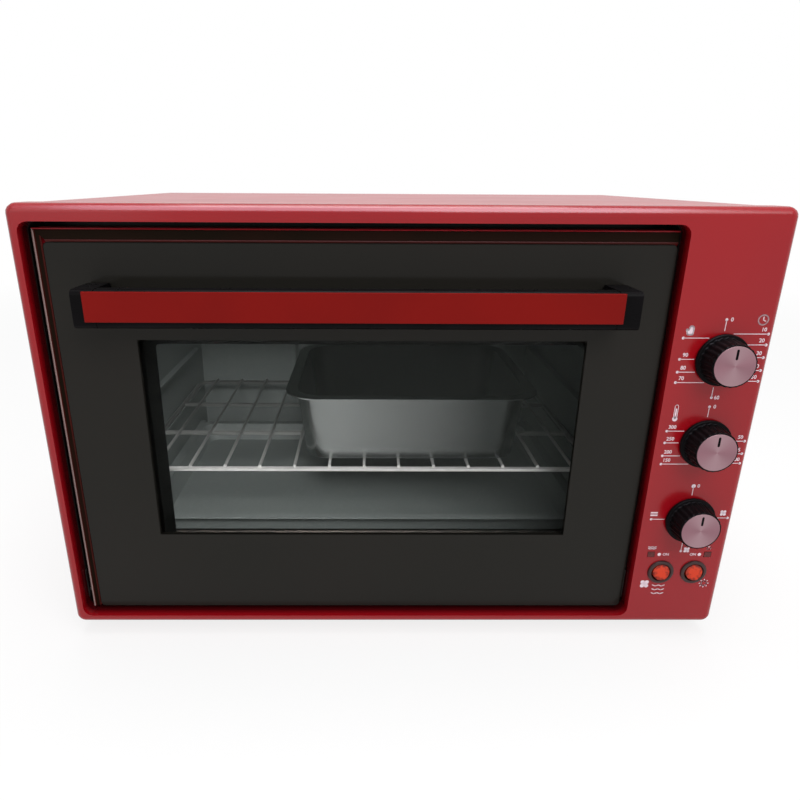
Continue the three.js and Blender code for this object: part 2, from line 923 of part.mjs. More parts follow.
function doorSeal() {
  const outer = grown(cavity, sealInset + sealWidth);
  const front = doorRear + seat;
  const ring = rectY(outer, front, pocketDepth, cavityRadius + sealWidth)
    .subtract(rectY(grown(cavity, sealInset), front - overrun, pocketDepth + overrun, cavityRadius));
  const belowSeal = block(
    outer.left - overrun, outer.right + overrun, front - overrun, pocketDepth + overrun,
    outer.bottom - overrun, pivotZ + sealLift,
  );
  return piece("door_seal", ring.subtract(belowSeal), sealRubber);
}

// Heaters: one serpentine above and one below, ends through the right wall

function heaterLines() {
  const front = cavityFront + heaterFront;
  const rear = front + 2 * heaterRuns * heaterBend;
  return [
    [cavity.top - heaterDrop, front, rear],
    [cavity.bottom + heaterRise, front, rear],
  ];
}

function heaterRoute(height, front) {
  const left = cavity.left + heaterLeftGap;
  const right = cavity.right - heaterLeftGap - heaterBend;
  const out = cavity.right + sheet + heaterTerminal;
  const quarter = Math.PI / 2;
  const points = [new THREE.Vector3(out, front, height)];
  for (let bend = 0; bend < heaterRuns; bend += 1) {
    const y = front + (2 * bend + 1) * heaterBend;
    points.push(...(bend % 2 === 0
      ? arcPoints(left, y, height, heaterBend, -quarter, -3 * quarter)
      : arcPoints(right, y, height, heaterBend, -quarter, quarter)));
  }
  points.push(new THREE.Vector3(out, front + 2 * heaterRuns * heaterBend, height));
  return points;
}

function heaters() {
  return heaterLines().flatMap(([height, front, rear], index) => {
    const label = index === 0 ? "upper" : "lower";
    const wall = index === 0 ? cavity.top : cavity.bottom;
    const reach = (rear - front) / 2 + clipOverhang;
    return [
      piece(`${label}_heater`, tube(heaterRoute(height, front), heaterRadius), heaterMetal),
      heaterClip(`${label}_heater_clip`, height, wall, (front + rear) / 2, reach),
    ];
  });
}

function heaterClip(name, height, wall, middle, reach) {
  const x = cavity.left + heaterLeftGap + heaterBend;
  const toWall = Math.sign(wall - height);
  const far = height + toWall * (heaterRadius + seat);
  const strapEdges = [far, far + toWall * clipThickness].sort((a, b) => a - b);
  const strap = block(x, x + clipWidth, middle - reach, middle + reach, strapEdges[0], strapEdges[1]);
  const legEdges = [far, wall].sort((a, b) => a - b);
  const legs = sideSigns.map((sign) => block(
    x, x + clipWidth,
    middle + sign * reach - clipThickness / 2, middle + sign * reach + clipThickness / 2,
    legEdges[0], legEdges[1],
  ));
  return piece(name, joined([strap, ...legs]), brightSteel);
}

// Fan, motor and guard on the rear wall

function fanParts() {
  const guardFront = cavityRear - guardDepth;
  return [
    piece("fan_blade", fanBlade(guardFront + sheet + fanBehindGuard), brightSteel),
    piece("fan_motor", fanMotor(), darkEnamel),
    piece("fan_guard", fanGuard(guardFront), greyEnamel),
  ];
}

function fanBlade(vaneFront) {
  const vaneRear = vaneFront + fanVaneDepth;
  const hub = rodY(cavityMiddle, cavityCentre, fanHubRadius, vaneFront, vaneRear + sheet, holeSides);
  const disc = rodY(cavityMiddle, cavityCentre, fanRadius, vaneRear, vaneRear + sheet);
  const shaft = rodY(
    cavityMiddle, cavityCentre, fanShaftRadius, vaneRear,
    cavityRear + sheet + motorStandoff + motorStack, smallSides,
  );
  const vanes = [];
  for (let i = 0; i < fanVaneCount; i += 1) {
    const geometry = new THREE.BoxGeometry(fanRadius - fanHubRadius, fanVaneDepth + weldDepth, sheet);
    geometry.translate((fanRadius + fanHubRadius) / 2 - sheet, 0, 0);
    geometry.rotateX(THREE.MathUtils.degToRad(fanVaneTilt));
    geometry.rotateY((2 * Math.PI * i) / fanVaneCount);
    geometry.translate(cavityMiddle, (vaneFront + vaneRear) / 2, cavityCentre);
    vanes.push(solid(geometry));
  }
  return joined([hub, disc, shaft, ...vanes]);
}

function fanMotor() {
  const footFront = cavityRear + sheet;
  const stackFront = footFront + motorStandoff;
  const stackRear = stackFront + motorStack;
  const foot = rectY(
    centred(cavityMiddle, cavityCentre, motorFootWide, motorFootTall), footFront, footFront + sheet,
  );
  const legs = sideSigns.map((sign) => rodY(
    cavityMiddle + sign * motorLegReach, cavityCentre, motorLegRadius,
    footFront, stackFront + weldDepth, smallSides,
  ));
  const stack = rectY(
    centred(cavityMiddle, cavityCentre, motorWide, motorWide), stackFront, stackRear, motorCornerRadius,
  );
  const coil = rectY(
    centred(cavityMiddle, cavityCentre - motorWide / 2, coilWide, coilTall),
    stackFront - sheet, stackRear + sheet, coilRadius,
  );
  const bore = rodY(
    cavityMiddle, cavityCentre, fanShaftRadius + seat, footFront - overrun, stackRear + seat, smallSides,
  );
  return joined([foot, ...legs, stack, coil]).subtract(bore);
}

function fanGuard(front) {
  const wide = centred(cavityMiddle, cavityCentre, guardWidth, guardWidth);
  const narrow = grown(wide, -guardTaper);
  const dish = taperedY(wide, cavityRear, narrow, front, guardRadius);
  const hollow = taperedY(
    grown(wide, -sheet), cavityRear, grown(narrow, -sheet), front + sheet, guardRadius - sheet,
  );
  const lip = rectY(grown(wide, guardLip), cavityRear - sheet, cavityRear, guardRadius + guardLip);
  const slots = [];
  const rows = Math.floor((fanRadius - guardSlotWide) / guardSlotPitch);
  for (let row = -rows; row <= rows; row += 1) {
    const offset = row * guardSlotPitch;
    const chord = 2 * Math.sqrt(fanRadius ** 2 - offset ** 2);
    const slot = centred(cavityMiddle, cavityCentre + offset, chord, guardSlotWide);
    slots.push(rectY(slot, front - overrun, front + overrun));
  }
  return cutBy(joined([dish, lip]), [hollow, ...slots]);
}

// A tapered block that lies along Y, from its wide end at the rear to its narrow end in front

function taperedY(wide, rear, narrow, front, radius) {
  return tapered(narrow, front, wide, rear, radius, radius).rotate([90, 0, 0]).mirror([0, 1, 0]);
}

// Lamp on the rear wall

function lampParts() {
  const outside = cavityRear + sheet;
  const socket = outside + lampSocketDepth;
  const holder = turnedY([
    [0, outside + lampHolderDepth],
    [lampHolderTipRadius, outside + lampHolderDepth],
    [lampHolderRadius, socket],
    [lampHolderRadius, outside],
    [bulbBaseRadius + seat, outside],
    [bulbBaseRadius + seat, socket],
    [0, socket],
  ], lampX, lampZ, holeSides);
  const tip = cavityRear - lampCoverDepth;
  const bulb = turnedY([
    [0, socket - seat],
    [bulbBaseRadius, socket - seat],
    [bulbBaseRadius, outside],
    [bulbRadius, cavityRear - lampCoverDepth / 4],
    [bulbRadius, cavityRear - lampCoverDepth / 2],
    [bulbRadius / 2, tip + 2 * lampCoverWall],
    [0, tip + 2 * lampCoverWall],
  ], lampX, lampZ, holeSides);
  const cover = turnedY([
    [0, tip],
    [0, tip + lampCoverWall],
    [lampCoverCrownRadius, tip + lampCoverWall],
    [lampCoverRadius - lampCoverWall, tip + lampCoverShoulder + lampCoverWall],
    [lampCoverRadius - lampCoverWall, cavityRear],
    [lampCoverRadius + lampCoverWall, cavityRear],
    [lampCoverRadius + lampCoverWall, cavityRear - lampCoverWall],
    [lampCoverRadius, cavityRear - lampCoverWall],
    [lampCoverRadius, tip + lampCoverShoulder],
    [lampCoverCrownRadius, tip],
    [0, tip],
  ], lampX, lampZ, holeSides);
  return [
    piece("lamp_holder", holder, whiteCeramic),
    piece("lamp_bulb", bulb, clearGlass),
    piece("lamp_cover", cover, clearGlass),
  ];
}

// Thermostat sensor on the right wall

function thermostatSensor() {
  const x = cavity.right - sensorFromWall;
  const y = cavityFront + sensorFront;
  const bend = sensorFromWall / 2;
  const bulbFront = y + 2 * sensorFromWall;
  const bulb = rodY(x, sensorZ, sensorRadius, bulbFront, bulbFront + sensorLength, smallSides);
  const quarter = Math.PI / 2;
  const route = [
    new THREE.Vector3(cavity.right + sheet + heaterTerminal, y, sensorZ),
    ...arcPoints(x + bend, y + bend, sensorZ, bend, -quarter, -2 * quarter, tightBendSteps),
    new THREE.Vector3(x, bulbFront + weldDepth, sensorZ),
  ];
  return piece("thermostat_sensor", bulb.add(tube(route, capillaryRadius)), brightSteel);
}

// Door

function doorPan() {
  const outer = rectY(door, glassRear, doorPanRear, doorPanRadius);
  const hollow = rectY(
    grown(door, -sheet), glassRear + sheet, doorPanRear + overrun, doorPanRadius - sheet,
  );
  const topBead = block(
    door.left + glassMarginLeft, door.right - glassMarginLeft, glassFront + sheet, glassRear + weldDepth,
    door.top - 2 * sheet, door.top - sheet,
  );
  const pinRoom = hingePinRadius + 2 * seat;
  const pinHoles = block(
    door.left - overrun, door.right + overrun, pivotY - pinRoom, pivotY + pinRoom,
    pivotZ - pinRoom, pivotZ + pinRoom,
  );
  return piece("door_pan", cutBy(joined([outer, topBead]), [
    hollow,
    rectY(grown(clearWindow, windowRelief), glassRear - overrun, glassRear + overrun, windowRadius),
    ...studHoles(glassRear - overrun, glassRear + overrun),
    pinHoles,
  ]), redPaint);
}

function studPlaces() {
  const z = (handle.bottom + handle.top) / 2;
  return [[handle.left + handleEnd / 2, z], [handle.right - handleEnd / 2, z]];
}

function studHoles(front, rear) {
  return studPlaces().map(([x, z]) => rodY(x, z, studRadius + seat, front, rear, smallSides));
}

function outerGlass() {
  return piece("door_outer_glass", cutBy(
    rectY(glass, glassFront, glassRear, glassRadius),
    studHoles(glassFront - overrun, glassRear + overrun),
  ), darkGlass);
}

function innerDoor() {
  const body = rectY(innerPanel, doorPanRear, doorRear, doorPanRadius);
  const hollow = rectY(
    grown(innerPanel, -sheet), doorPanRear - overrun, doorRear - sheet, doorPanRadius - sheet,
  );
  const lip = rectY(door, doorPanRear, doorPanRear + sheet, doorPanRadius);
  const panel = cutBy(joined([body, lip]), [
    hollow,
    rectY(innerWindow, doorRear - sheet - overrun, doorRear + overrun, windowRadius),
  ]);
  const glassRearFace = doorRear - sheet;
  const pane = rectY(
    grown(innerWindow, innerGlassMargin), glassRearFace - innerGlassThickness, glassRearFace, windowRadius,
  );
  return [
    piece("door_inner_panel", panel, darkEnamel),
    piece("door_inner_glass", pane, clearGlass),
  ];
}

// Handle

function handleParts() {
  const barFront = handleFront + stripThickness;
  const sideView = (rear) => outline(
    { left: barFront, right: rear, bottom: handle.bottom, top: handle.top }, handleRadius,
  );
  const bar = slabX(sideView(barFront + handleBarDepth), handle.left + handleEnd, handle.right - handleEnd);
  const strip = block(
    handle.left + stripFromLeft, handle.right - stripFromRight, handleFront, barFront,
    handle.top - stripTall - stripFromTop, handle.top - stripFromTop,
  );
  const brackets = [
    ["handle_bracket_left", handle.left, handle.left + handleEnd],
    ["handle_bracket_right", handle.right - handleEnd, handle.right],
  ].map(([name, left, right], index) => {
    const [x, z] = studPlaces()[index];
    const stud = rodY(x, z, studRadius, glassFront - weldDepth, doorPanRear - seat, smallSides);
    return piece(name, slabX(sideView(glassFront), left, right).add(stud), blackPlastic);
  });
  return [
    piece("handle_bar", bar, blackPlastic),
    piece("handle_strip", strip, deepRed),
    ...brackets,
  ];
}

// Hinges

function hingeFixed() {
  return sideSigns.flatMap((side) => {
    const label = side < 0 ? "left" : "right";
    const wall = side < 0 ? pocket.left : pocket.right;
    const face = wall - side * sheet;
    const low = Math.min(wall, face);
    const high = Math.max(wall, face);
    const profile = outline({
      left: pivotY - 3 * hingePinRadius, right: pocketDepth - seat,
      bottom: pivotZ - 3 * hingePinRadius, top: pivotZ - 3 * hingePinRadius + hingePlateTall,
    }, hingePinRadius);
    const tip = face - side * hingePinLength;
    return [
      piece(`hinge_plate_${label}`, slabX(profile, low, high), zincSheet),
      piece(`hinge_pin_${label}`, rodX(
        pivotY, pivotZ, hingePinRadius, Math.min(face, tip), Math.max(face, tip), holeSides,
      ), brightSteel),
    ];
  });
}

function hingeArms() {
  return sideSigns.map((side) => {
    const label = side < 0 ? "left" : "right";
    const wall = (side < 0 ? door.left : door.right) - side * sheet;
    const inner = wall - side * hingeArmThickness;
    const profile = outline({
      left: glassRear + sheet, right: doorPanRear - seat,
      bottom: door.bottom + sheet + doorPanRadius, top: door.bottom + sheet + hingeArmTall,
    }, hingePinRadius);
    const low = Math.min(wall, inner);
    const high = Math.max(wall, inner);
    const bore = rodX(pivotY, pivotZ, hingePinRadius + seat, low - overrun, high + overrun, holeSides);
    return piece(`hinge_arm_${label}`, slabX(profile, low, high).subtract(bore), zincSheet);
  });
}

// Knobs with their faces and shafts, and the units that they turn

// Crests and valleys of the grip in turn, with the flutes as deep for their radius at either end

function fluteRing(radius, x, y) {
  const valley = radius * (1 - fluteDepth / knobRootRadius);
  return Array.from({ length: 2 * fluteCount }, (unused, i) => {
    const angle = (Math.PI * i) / fluteCount;
    const reach = i % 2 === 0 ? radius : valley;
    return [x + reach * Math.cos(angle), y + reach * Math.sin(angle)];
  });
}

function knobBody(z) {
  const rear = -knobGap;
  const front = rear - knobDepth;
  const gripEnd = rear - knobSkirtDepth;
  const faceRadius = knobTipRadius - knobRimWidth;
  const skirt = turnedY([
    [0, rear],
    [knobSkirtRadius - sheet, rear],
    [knobSkirtRadius, rear - sheet],
    [knobSkirtRadius, gripEnd + sheet],
    [knobSkirtRadius - sheet, gripEnd],
    [0, gripEnd],
  ], knobX, z, knobSides);
  const tip = fluteRing(knobTipRadius, knobX, z);
  const root = fluteRing(knobRootRadius, knobX, z);
  const grip = lofted(tip, front, root, gripEnd + weldDepth, [knobX, z])
    .rotate([90, 0, 0]).mirror([0, 1, 0]);
  const recess = rodY(knobX, z, faceRadius, front - overrun, front + faceRecess, knobSides);
  const bore = rodY(knobX, z, shaftRadius + seat, -shaftGrip - seat, rear + overrun, holeSides);
  return cutBy(skirt.add(grip), [recess, bore]);
}

function knobParts(name, z) {
  const faceRadius = knobTipRadius - knobRimWidth;
  const faceRear = faceRecess - knobGap - knobDepth;
  const disc = rodY(knobX, z, faceRadius - seat, faceRear - faceThickness, faceRear, knobSides);
  const pointerTop = z + faceRadius - 2 * sheet;
  const pointer = block(
    knobX - pointerWide / 2, knobX + pointerWide / 2, faceRear - faceThickness - overrun,
    faceRear - faceThickness / 2, pointerTop - pointerLong, pointerTop,
  );
  const shaft = rodY(knobX, z, shaftRadius, -shaftGrip, plateRear + shaftReach, holeSides);
  const flat = block(
    knobX - shaftRadius, knobX + shaftRadius, -shaftGrip - overrun, 0,
    z + shaftRadius / 2, z + 2 * shaftRadius,
  );
  return [
    piece(`${name}_knob`, knobBody(z), blackPlastic),
    piece(`${name}_knob_face`, disc.subtract(pointer), brushedSilver),
    piece(`${name}_shaft`, shaft.subtract(flat), brightSteel),
  ];
}

function shaftBore(z) {
  return rodY(
    knobX, z, shaftRadius + seat, plateRear - overrun, plateRear + shaftReach + seat, holeSides,
  );
}

function unitPlate(z) {
  return rectY(
    centred(knobX, z, unitFlange, unitFlange), plateRear, plateRear + unitFlangeThickness, unitRadius,
  );
}

function terminals(z, rear, offset) {
  return sideSigns.map((sign) => block(
    knobX + sign * offset - terminalThick / 2, knobX + sign * offset + terminalThick / 2,
    rear - weldDepth, rear + terminalLong, z - terminalWide / 2, z + terminalWide / 2,
  ));
}

function controlUnits() {
  const [timerHeight, thermostatHeight, selectorHeight] = knobHeights;
  const front = plateRear + unitFlangeThickness - weldDepth;
  const timerRear = plateRear + timerDepth;
  const timer = joined([
    unitPlate(timerHeight),
    rodY(knobX, timerHeight, timerRadius, front, timerRear, holeSides),
    turnedY([
      [0, timerRear + bellDepth],
      [bellRadius / 2, timerRear + bellDepth],
      [bellRadius, timerRear + bellDepth / 2],
      [bellRadius, timerRear + bellDepth / 4],
      [bellPostRadius, timerRear + bellDepth / 4],
      [bellPostRadius, timerRear - weldDepth],
      [0, timerRear - weldDepth],
    ], knobX, timerHeight, holeSides),
  ]);
  const thermostatRear = plateRear + thermostatDepth;
  const housing = centred(knobX, thermostatHeight, thermostatWide, thermostatWide);
  const thermostat = joined([
    unitPlate(thermostatHeight),
    rectY(housing, front, thermostatRear, unitRadius),
    ...terminals(thermostatHeight, thermostatRear, thermostatTerminalReach),
  ]);
  const selectorRear = plateRear + selectorDepth;
  const selector = joined([
    unitPlate(selectorHeight),
    rodY(knobX, selectorHeight, selectorRadius, front, selectorRear, holeSides),
    ...terminals(selectorHeight, selectorRear, selectorTerminalReach),
  ]);
  return [
    piece("timer_unit", timer.subtract(shaftBore(timerHeight)), zincSheet),
    piece("thermostat_unit", thermostat.subtract(shaftBore(thermostatHeight)), zincSheet),
    piece("selector_unit", selector.subtract(shaftBore(selectorHeight)), whiteCeramic),
  ];
}

// Round rocker switches and pilot lenses

function switchParts(name, sign) {
  const x = switchX + (sign * switchPitch) / 2;
  const z = switchHeight;
  const floor = switchDepth - switchWallThickness;
  const barrel = turnedY([
    [0, switchDepth],
    [switchBarrelRadius, switchDepth],
    [switchBarrelRadius, 0],
    [switchFlangeRadius, 0],
    [switchFlangeRadius, -switchFlangeThickness / 2],
    [switchFlangeRadius - sheet, -switchFlangeThickness],
    [switchBore, -switchFlangeThickness],
    [switchBore, floor],
    [0, floor],
  ], x, z);
  const axleBore = rodX(
    rockerDepth, z, rockerAxleRadius + seat,
    x - switchBore - 2 * rockerAxleGrip, x + switchBore + 2 * rockerAxleGrip, smallSides,
  );
  const blades = sideSigns.map((side) => block(
    x - terminalWide / 2, x + terminalWide / 2, switchDepth - weldDepth, switchDepth + terminalLong,
    z + (side * switchBore) / 2 - terminalThick / 2, z + (side * switchBore) / 2 + terminalThick / 2,
  ));
  return [
    piece(`${name}_switch_body`, cutBy(barrel, [axleBore]).add(blades[0]).add(blades[1]), blackPlastic),
    rocker(name, x, z),
  ];
}

function rocker(name, x, z) {
  const radius = switchBore - rockerGap;
  const front = -rockerCrown - rockerDepth;
  const profile = polygon([
    [front, radius + sheet],
    [front + sheet, 0],
    [front, -radius - sheet],
    [rockerDepth, -radius - sheet],
    [2 * rockerDepth, 0],
    [rockerDepth, radius + sheet],
  ]);
  const drum = rodY(0, 0, radius, front - overrun, overrun);
  const rounded = slabX(profile, -radius - sheet, radius + sheet).intersect(drum);
  const axleReach = switchBore + rockerAxleGrip;
  const axle = rodX(0, 0, rockerAxleRadius, -axleReach, axleReach, smallSides);
  const tilted = rounded.add(axle).rotate([-rockerTilt, 0, 0]).translate([x, rockerDepth, z]);
  return piece(`${name}_rocker`, tilted, amberPlastic);
}

function pilotLenses() {
  return [["heating", -1], ["power", 1]].map(([name, sign]) => {
    const area = centred(pilotX + (sign * pilotPitch) / 2, pilotHeight, pilotWidth, pilotTall);
    const lens = joined([
      rectY(area, -pilotProud, bezelWall + weldDepth, pilotRadius),
      rectY(grown(area, pilotLedge), bezelWall, bezelWall + pilotTall),
    ]);
    return piece(`${name}_pilot_lens`, lens, darkRedLens);
  });
}

// Wire rack, tray and pan

function rackArea() {
  return {
    left: cavity.left + rackGapSide + wireRadius,
    right: cavity.right - rackGapSide - wireRadius,
    front: cavityFront + rackFront,
    rear: cavityRear - rackRearGap,
  };
}

function rackHeight() {
  return runnerFirst + rackLevel * runnerPitch + seat + wireRadius;
}

function rackFrame(area, z) {
  const r = rackCornerRadius;
  const quarter = Math.PI / 2;
  const corners = [
    [area.right - r, area.front + r, -quarter],
    [area.right - r, area.rear - r, 0],
    [area.left + r, area.rear - r, quarter],
    [area.left + r, area.front + r, 2 * quarter],
  ];
  const places = corners.flatMap(([x, y, from]) => (
    Array.from({ length: rackCornerSteps + 1 }, (unused, i) => (
      { x, y, angle: from + (quarter * i) / rackCornerSteps }
    ))
  ));
  const rings = places.map(({ x, y, angle }) => (
    Array.from({ length: wireSides }, (unused, side) => {
      const turn = (2 * Math.PI * (side + 0.5)) / wireSides;
      const reach = r + wireRadius * Math.cos(turn);
      return [x + reach * Math.cos(angle), y + reach * Math.sin(angle), z + wireRadius * Math.sin(turn)];
    })
  ));
  const faces = [];
  rings.forEach((ring, i) => {
    const here = i * wireSides;
    const next = ((i + 1) % rings.length) * wireSides;
    for (let side = 0; side < wireSides; side += 1) {
      const other = (side + 1) % wireSides;
      faces.push([here + side, next + side, next + other], [here + side, next + other, here + other]);
    }
  });
  return solid(indexed(rings.flat(), faces));
}

function wireRack() {
  const area = rackArea();
  const z = rackHeight();
  const middle = (area.left + area.right) / 2;
  const crossHeight = z + wireRadius + crossWireRadius - weldDepth;
  const wireCount = Math.floor((area.right - area.left) / crossWirePitch);
  const wires = [];
  for (let i = 0; i < wireCount; i += 1) {
    const x = middle + (i - (wireCount - 1) / 2) * crossWirePitch;
    wires.push(rodY(
      x, crossHeight, crossWireRadius, area.front - wireRadius / 2, area.rear + wireRadius / 2, wireSides,
    ));
  }
  const stays = rackStayShares.map((share) => rodX(
    area.front + share * (area.rear - area.front), z, wireRadius, area.left, area.right, wireSides,
  ));
  return piece("wire_rack", joined([rackFrame(area, z), ...wires, ...stays]), brightSteel);
}

function hollowTray(area, bottom, top, taper, wall, rim, radius) {
  const foot = grown(area, -taper);
  const shell = tapered(foot, bottom, area, top, radius - taper / 2, radius);
  const inside = tapered(
    grown(foot, -wall), bottom + wall, grown(area, -wall), top + wall,
    radius - taper / 2 - wall, radius - wall,
  );
  const lip = slabZ(outline(grown(area, rim), radius + rim / 2), top - wall, top);
  return shell.add(lip).subtract(inside);
}

function dripTray() {
  const area = rackArea();
  const top = runnerFirst + trayLevel * runnerPitch + seat + trayWall;
  const rim = {
    left: cavity.left + rackGapSide + trayRim,
    right: cavity.right - rackGapSide - trayRim,
    bottom: area.front + trayRim,
    top: cavityRear - trayRearGap - trayRim,
  };
  return piece("drip_tray", hollowTray(
    rim, top - trayTall, top, trayTaper, trayWall, trayRim, trayCornerRadius,
  ), darkEnamel);
}

function bakingPan() {
  const area = rackArea();
  const bottom = rackHeight() + wireRadius + 2 * crossWireRadius - weldDepth + seat;
  const taper = (panTopWidth - panBottomWidth) / 2;
  const x = cavityMiddle + panOffset;
  const front = area.front + panFromFront;
  const place = {
    left: x - panTopWidth / 2, right: x + panTopWidth / 2, bottom: front, top: front + panTopLength,
  };
  return piece("baking_pan", hollowTray(
    place, bottom, bottom + panTall, taper, panWall, panRim, panRadius,
  ), greyEnamel);
}

// The whole oven

const oven = new THREE.Group();
oven.add(
  frontBezel(), frontFrame(), cabinetWrap(), basePlate(), rearCover(), cordGrommet(), ...feet(),
  heatShield(), ovenCavity(), doorSeal(), ...heaters(), ...fanParts(), ...lampParts(),
  thermostatSensor(), ...controlUnits(), ...hingeFixed(), ...pilotLenses(),
  ...switchParts("fan", -1), ...switchParts("lamp", 1),
  doorPan(), outerGlass(), ...innerDoor(), ...handleParts(), ...hingeArms(),
  ...knobNames.flatMap((name, index) => knobParts(name, knobHeights[index])),
  wireRack(), dripTray(), bakingPan(),
);

// The origin is the middle of the footprint, on the worktop
const rearMost = cabinetDepth + grommetLip;
oven.position.set(0, -(handleFront + rearMost) / 2, footDrop);

const model = new THREE.Group();
model.add(oven);

export default model;
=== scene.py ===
import json
import math

import bpy
from mathutils import Matrix, Vector

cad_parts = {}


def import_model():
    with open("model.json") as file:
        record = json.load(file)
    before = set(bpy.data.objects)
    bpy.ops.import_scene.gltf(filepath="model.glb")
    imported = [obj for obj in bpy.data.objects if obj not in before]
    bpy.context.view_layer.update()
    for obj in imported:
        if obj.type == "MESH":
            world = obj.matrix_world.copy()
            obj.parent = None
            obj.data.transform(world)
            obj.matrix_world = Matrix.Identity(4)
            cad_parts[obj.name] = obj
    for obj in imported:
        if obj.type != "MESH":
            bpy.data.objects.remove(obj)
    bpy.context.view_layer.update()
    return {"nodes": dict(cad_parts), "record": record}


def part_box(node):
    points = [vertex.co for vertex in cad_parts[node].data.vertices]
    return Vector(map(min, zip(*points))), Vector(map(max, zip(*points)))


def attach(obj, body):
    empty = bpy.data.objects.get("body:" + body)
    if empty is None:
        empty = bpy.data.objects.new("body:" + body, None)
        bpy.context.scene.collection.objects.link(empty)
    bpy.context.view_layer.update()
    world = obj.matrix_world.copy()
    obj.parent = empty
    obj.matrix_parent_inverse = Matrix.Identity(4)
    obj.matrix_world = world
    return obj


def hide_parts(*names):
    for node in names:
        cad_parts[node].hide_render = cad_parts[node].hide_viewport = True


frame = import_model()
nodes = frame["nodes"]

MM = 0.001
MERGE_DISTANCE = 1e-6


# Colours are written as sRGB bytes and turned into scene values


def srgb(red, green, blue):
    def linear(byte):
        share = byte / 255
        return share / 12.92 if share <= 0.04045 else ((share + 0.055) / 1.055) ** 2.4

    return (linear(red), linear(green), linear(blue), 1.0)


# Camera, fitted to the photograph

PHOTO_PX = 800
FOCAL_PX = 623.86
MIDDLE_PX = 368.88
SENSOR_MM = 36
CAMERA_PLACE = (-0.02925, -0.65818, 0.40316)
CAMERA_RIGHT = (0.99996389, -0.00665352, 0.00528664)
CAMERA_UP = (-0.00276766, 0.33320171, 0.9428515)
CAMERA_BACK = (-0.0080348, -0.94283209, 0.33317127)
NEAREST_SEEN = 0.01
FARTHEST_SEEN = 50


def make_camera():
    data = bpy.data.cameras.new("camera")
    data.sensor_width = SENSOR_MM
    data.lens = FOCAL_PX / PHOTO_PX * SENSOR_MM
    data.shift_x = (PHOTO_PX / 2 - MIDDLE_PX) / PHOTO_PX
    data.clip_start = NEAREST_SEEN
    data.clip_end = FARTHEST_SEEN
    camera = bpy.data.objects.new("camera", data)
    bpy.context.scene.collection.objects.link(camera)
    axes = [Vector(axis) for axis in (CAMERA_RIGHT, CAMERA_UP, CAMERA_BACK)]
    turn = Matrix(axes).transposed().to_4x4()
    camera.matrix_world = Matrix.Translation(CAMERA_PLACE) @ turn
    bpy.context.scene.camera = camera


make_camera()


# Materials

COLOUR_RANGE = (0.35, 0.65)
ROUGHNESS_RANGE = (0.3, 0.7)
# Depths over which painted shade comes in on the walls of the bezel's recess
RECESS_SHADE_START = 2.0 * MM
RECESS_SHADE_END = 9.0 * MM
QUARTER = math.radians(90)
HIGHLIGHT_LOBES = 2
PAN_GRAIN = (900, 900, 30)


def maths(tree, operation, first, second):
    """The output of a math node whose inputs are numbers or other outputs."""
    node = tree.nodes.new("ShaderNodeMath")
    node.operation = operation
    for socket, value in zip(node.inputs, (first, second)):
        if isinstance(value, (int, float)):
            socket.default_value = value
        else:
            tree.links.new(value, socket)
    return node.outputs[0]


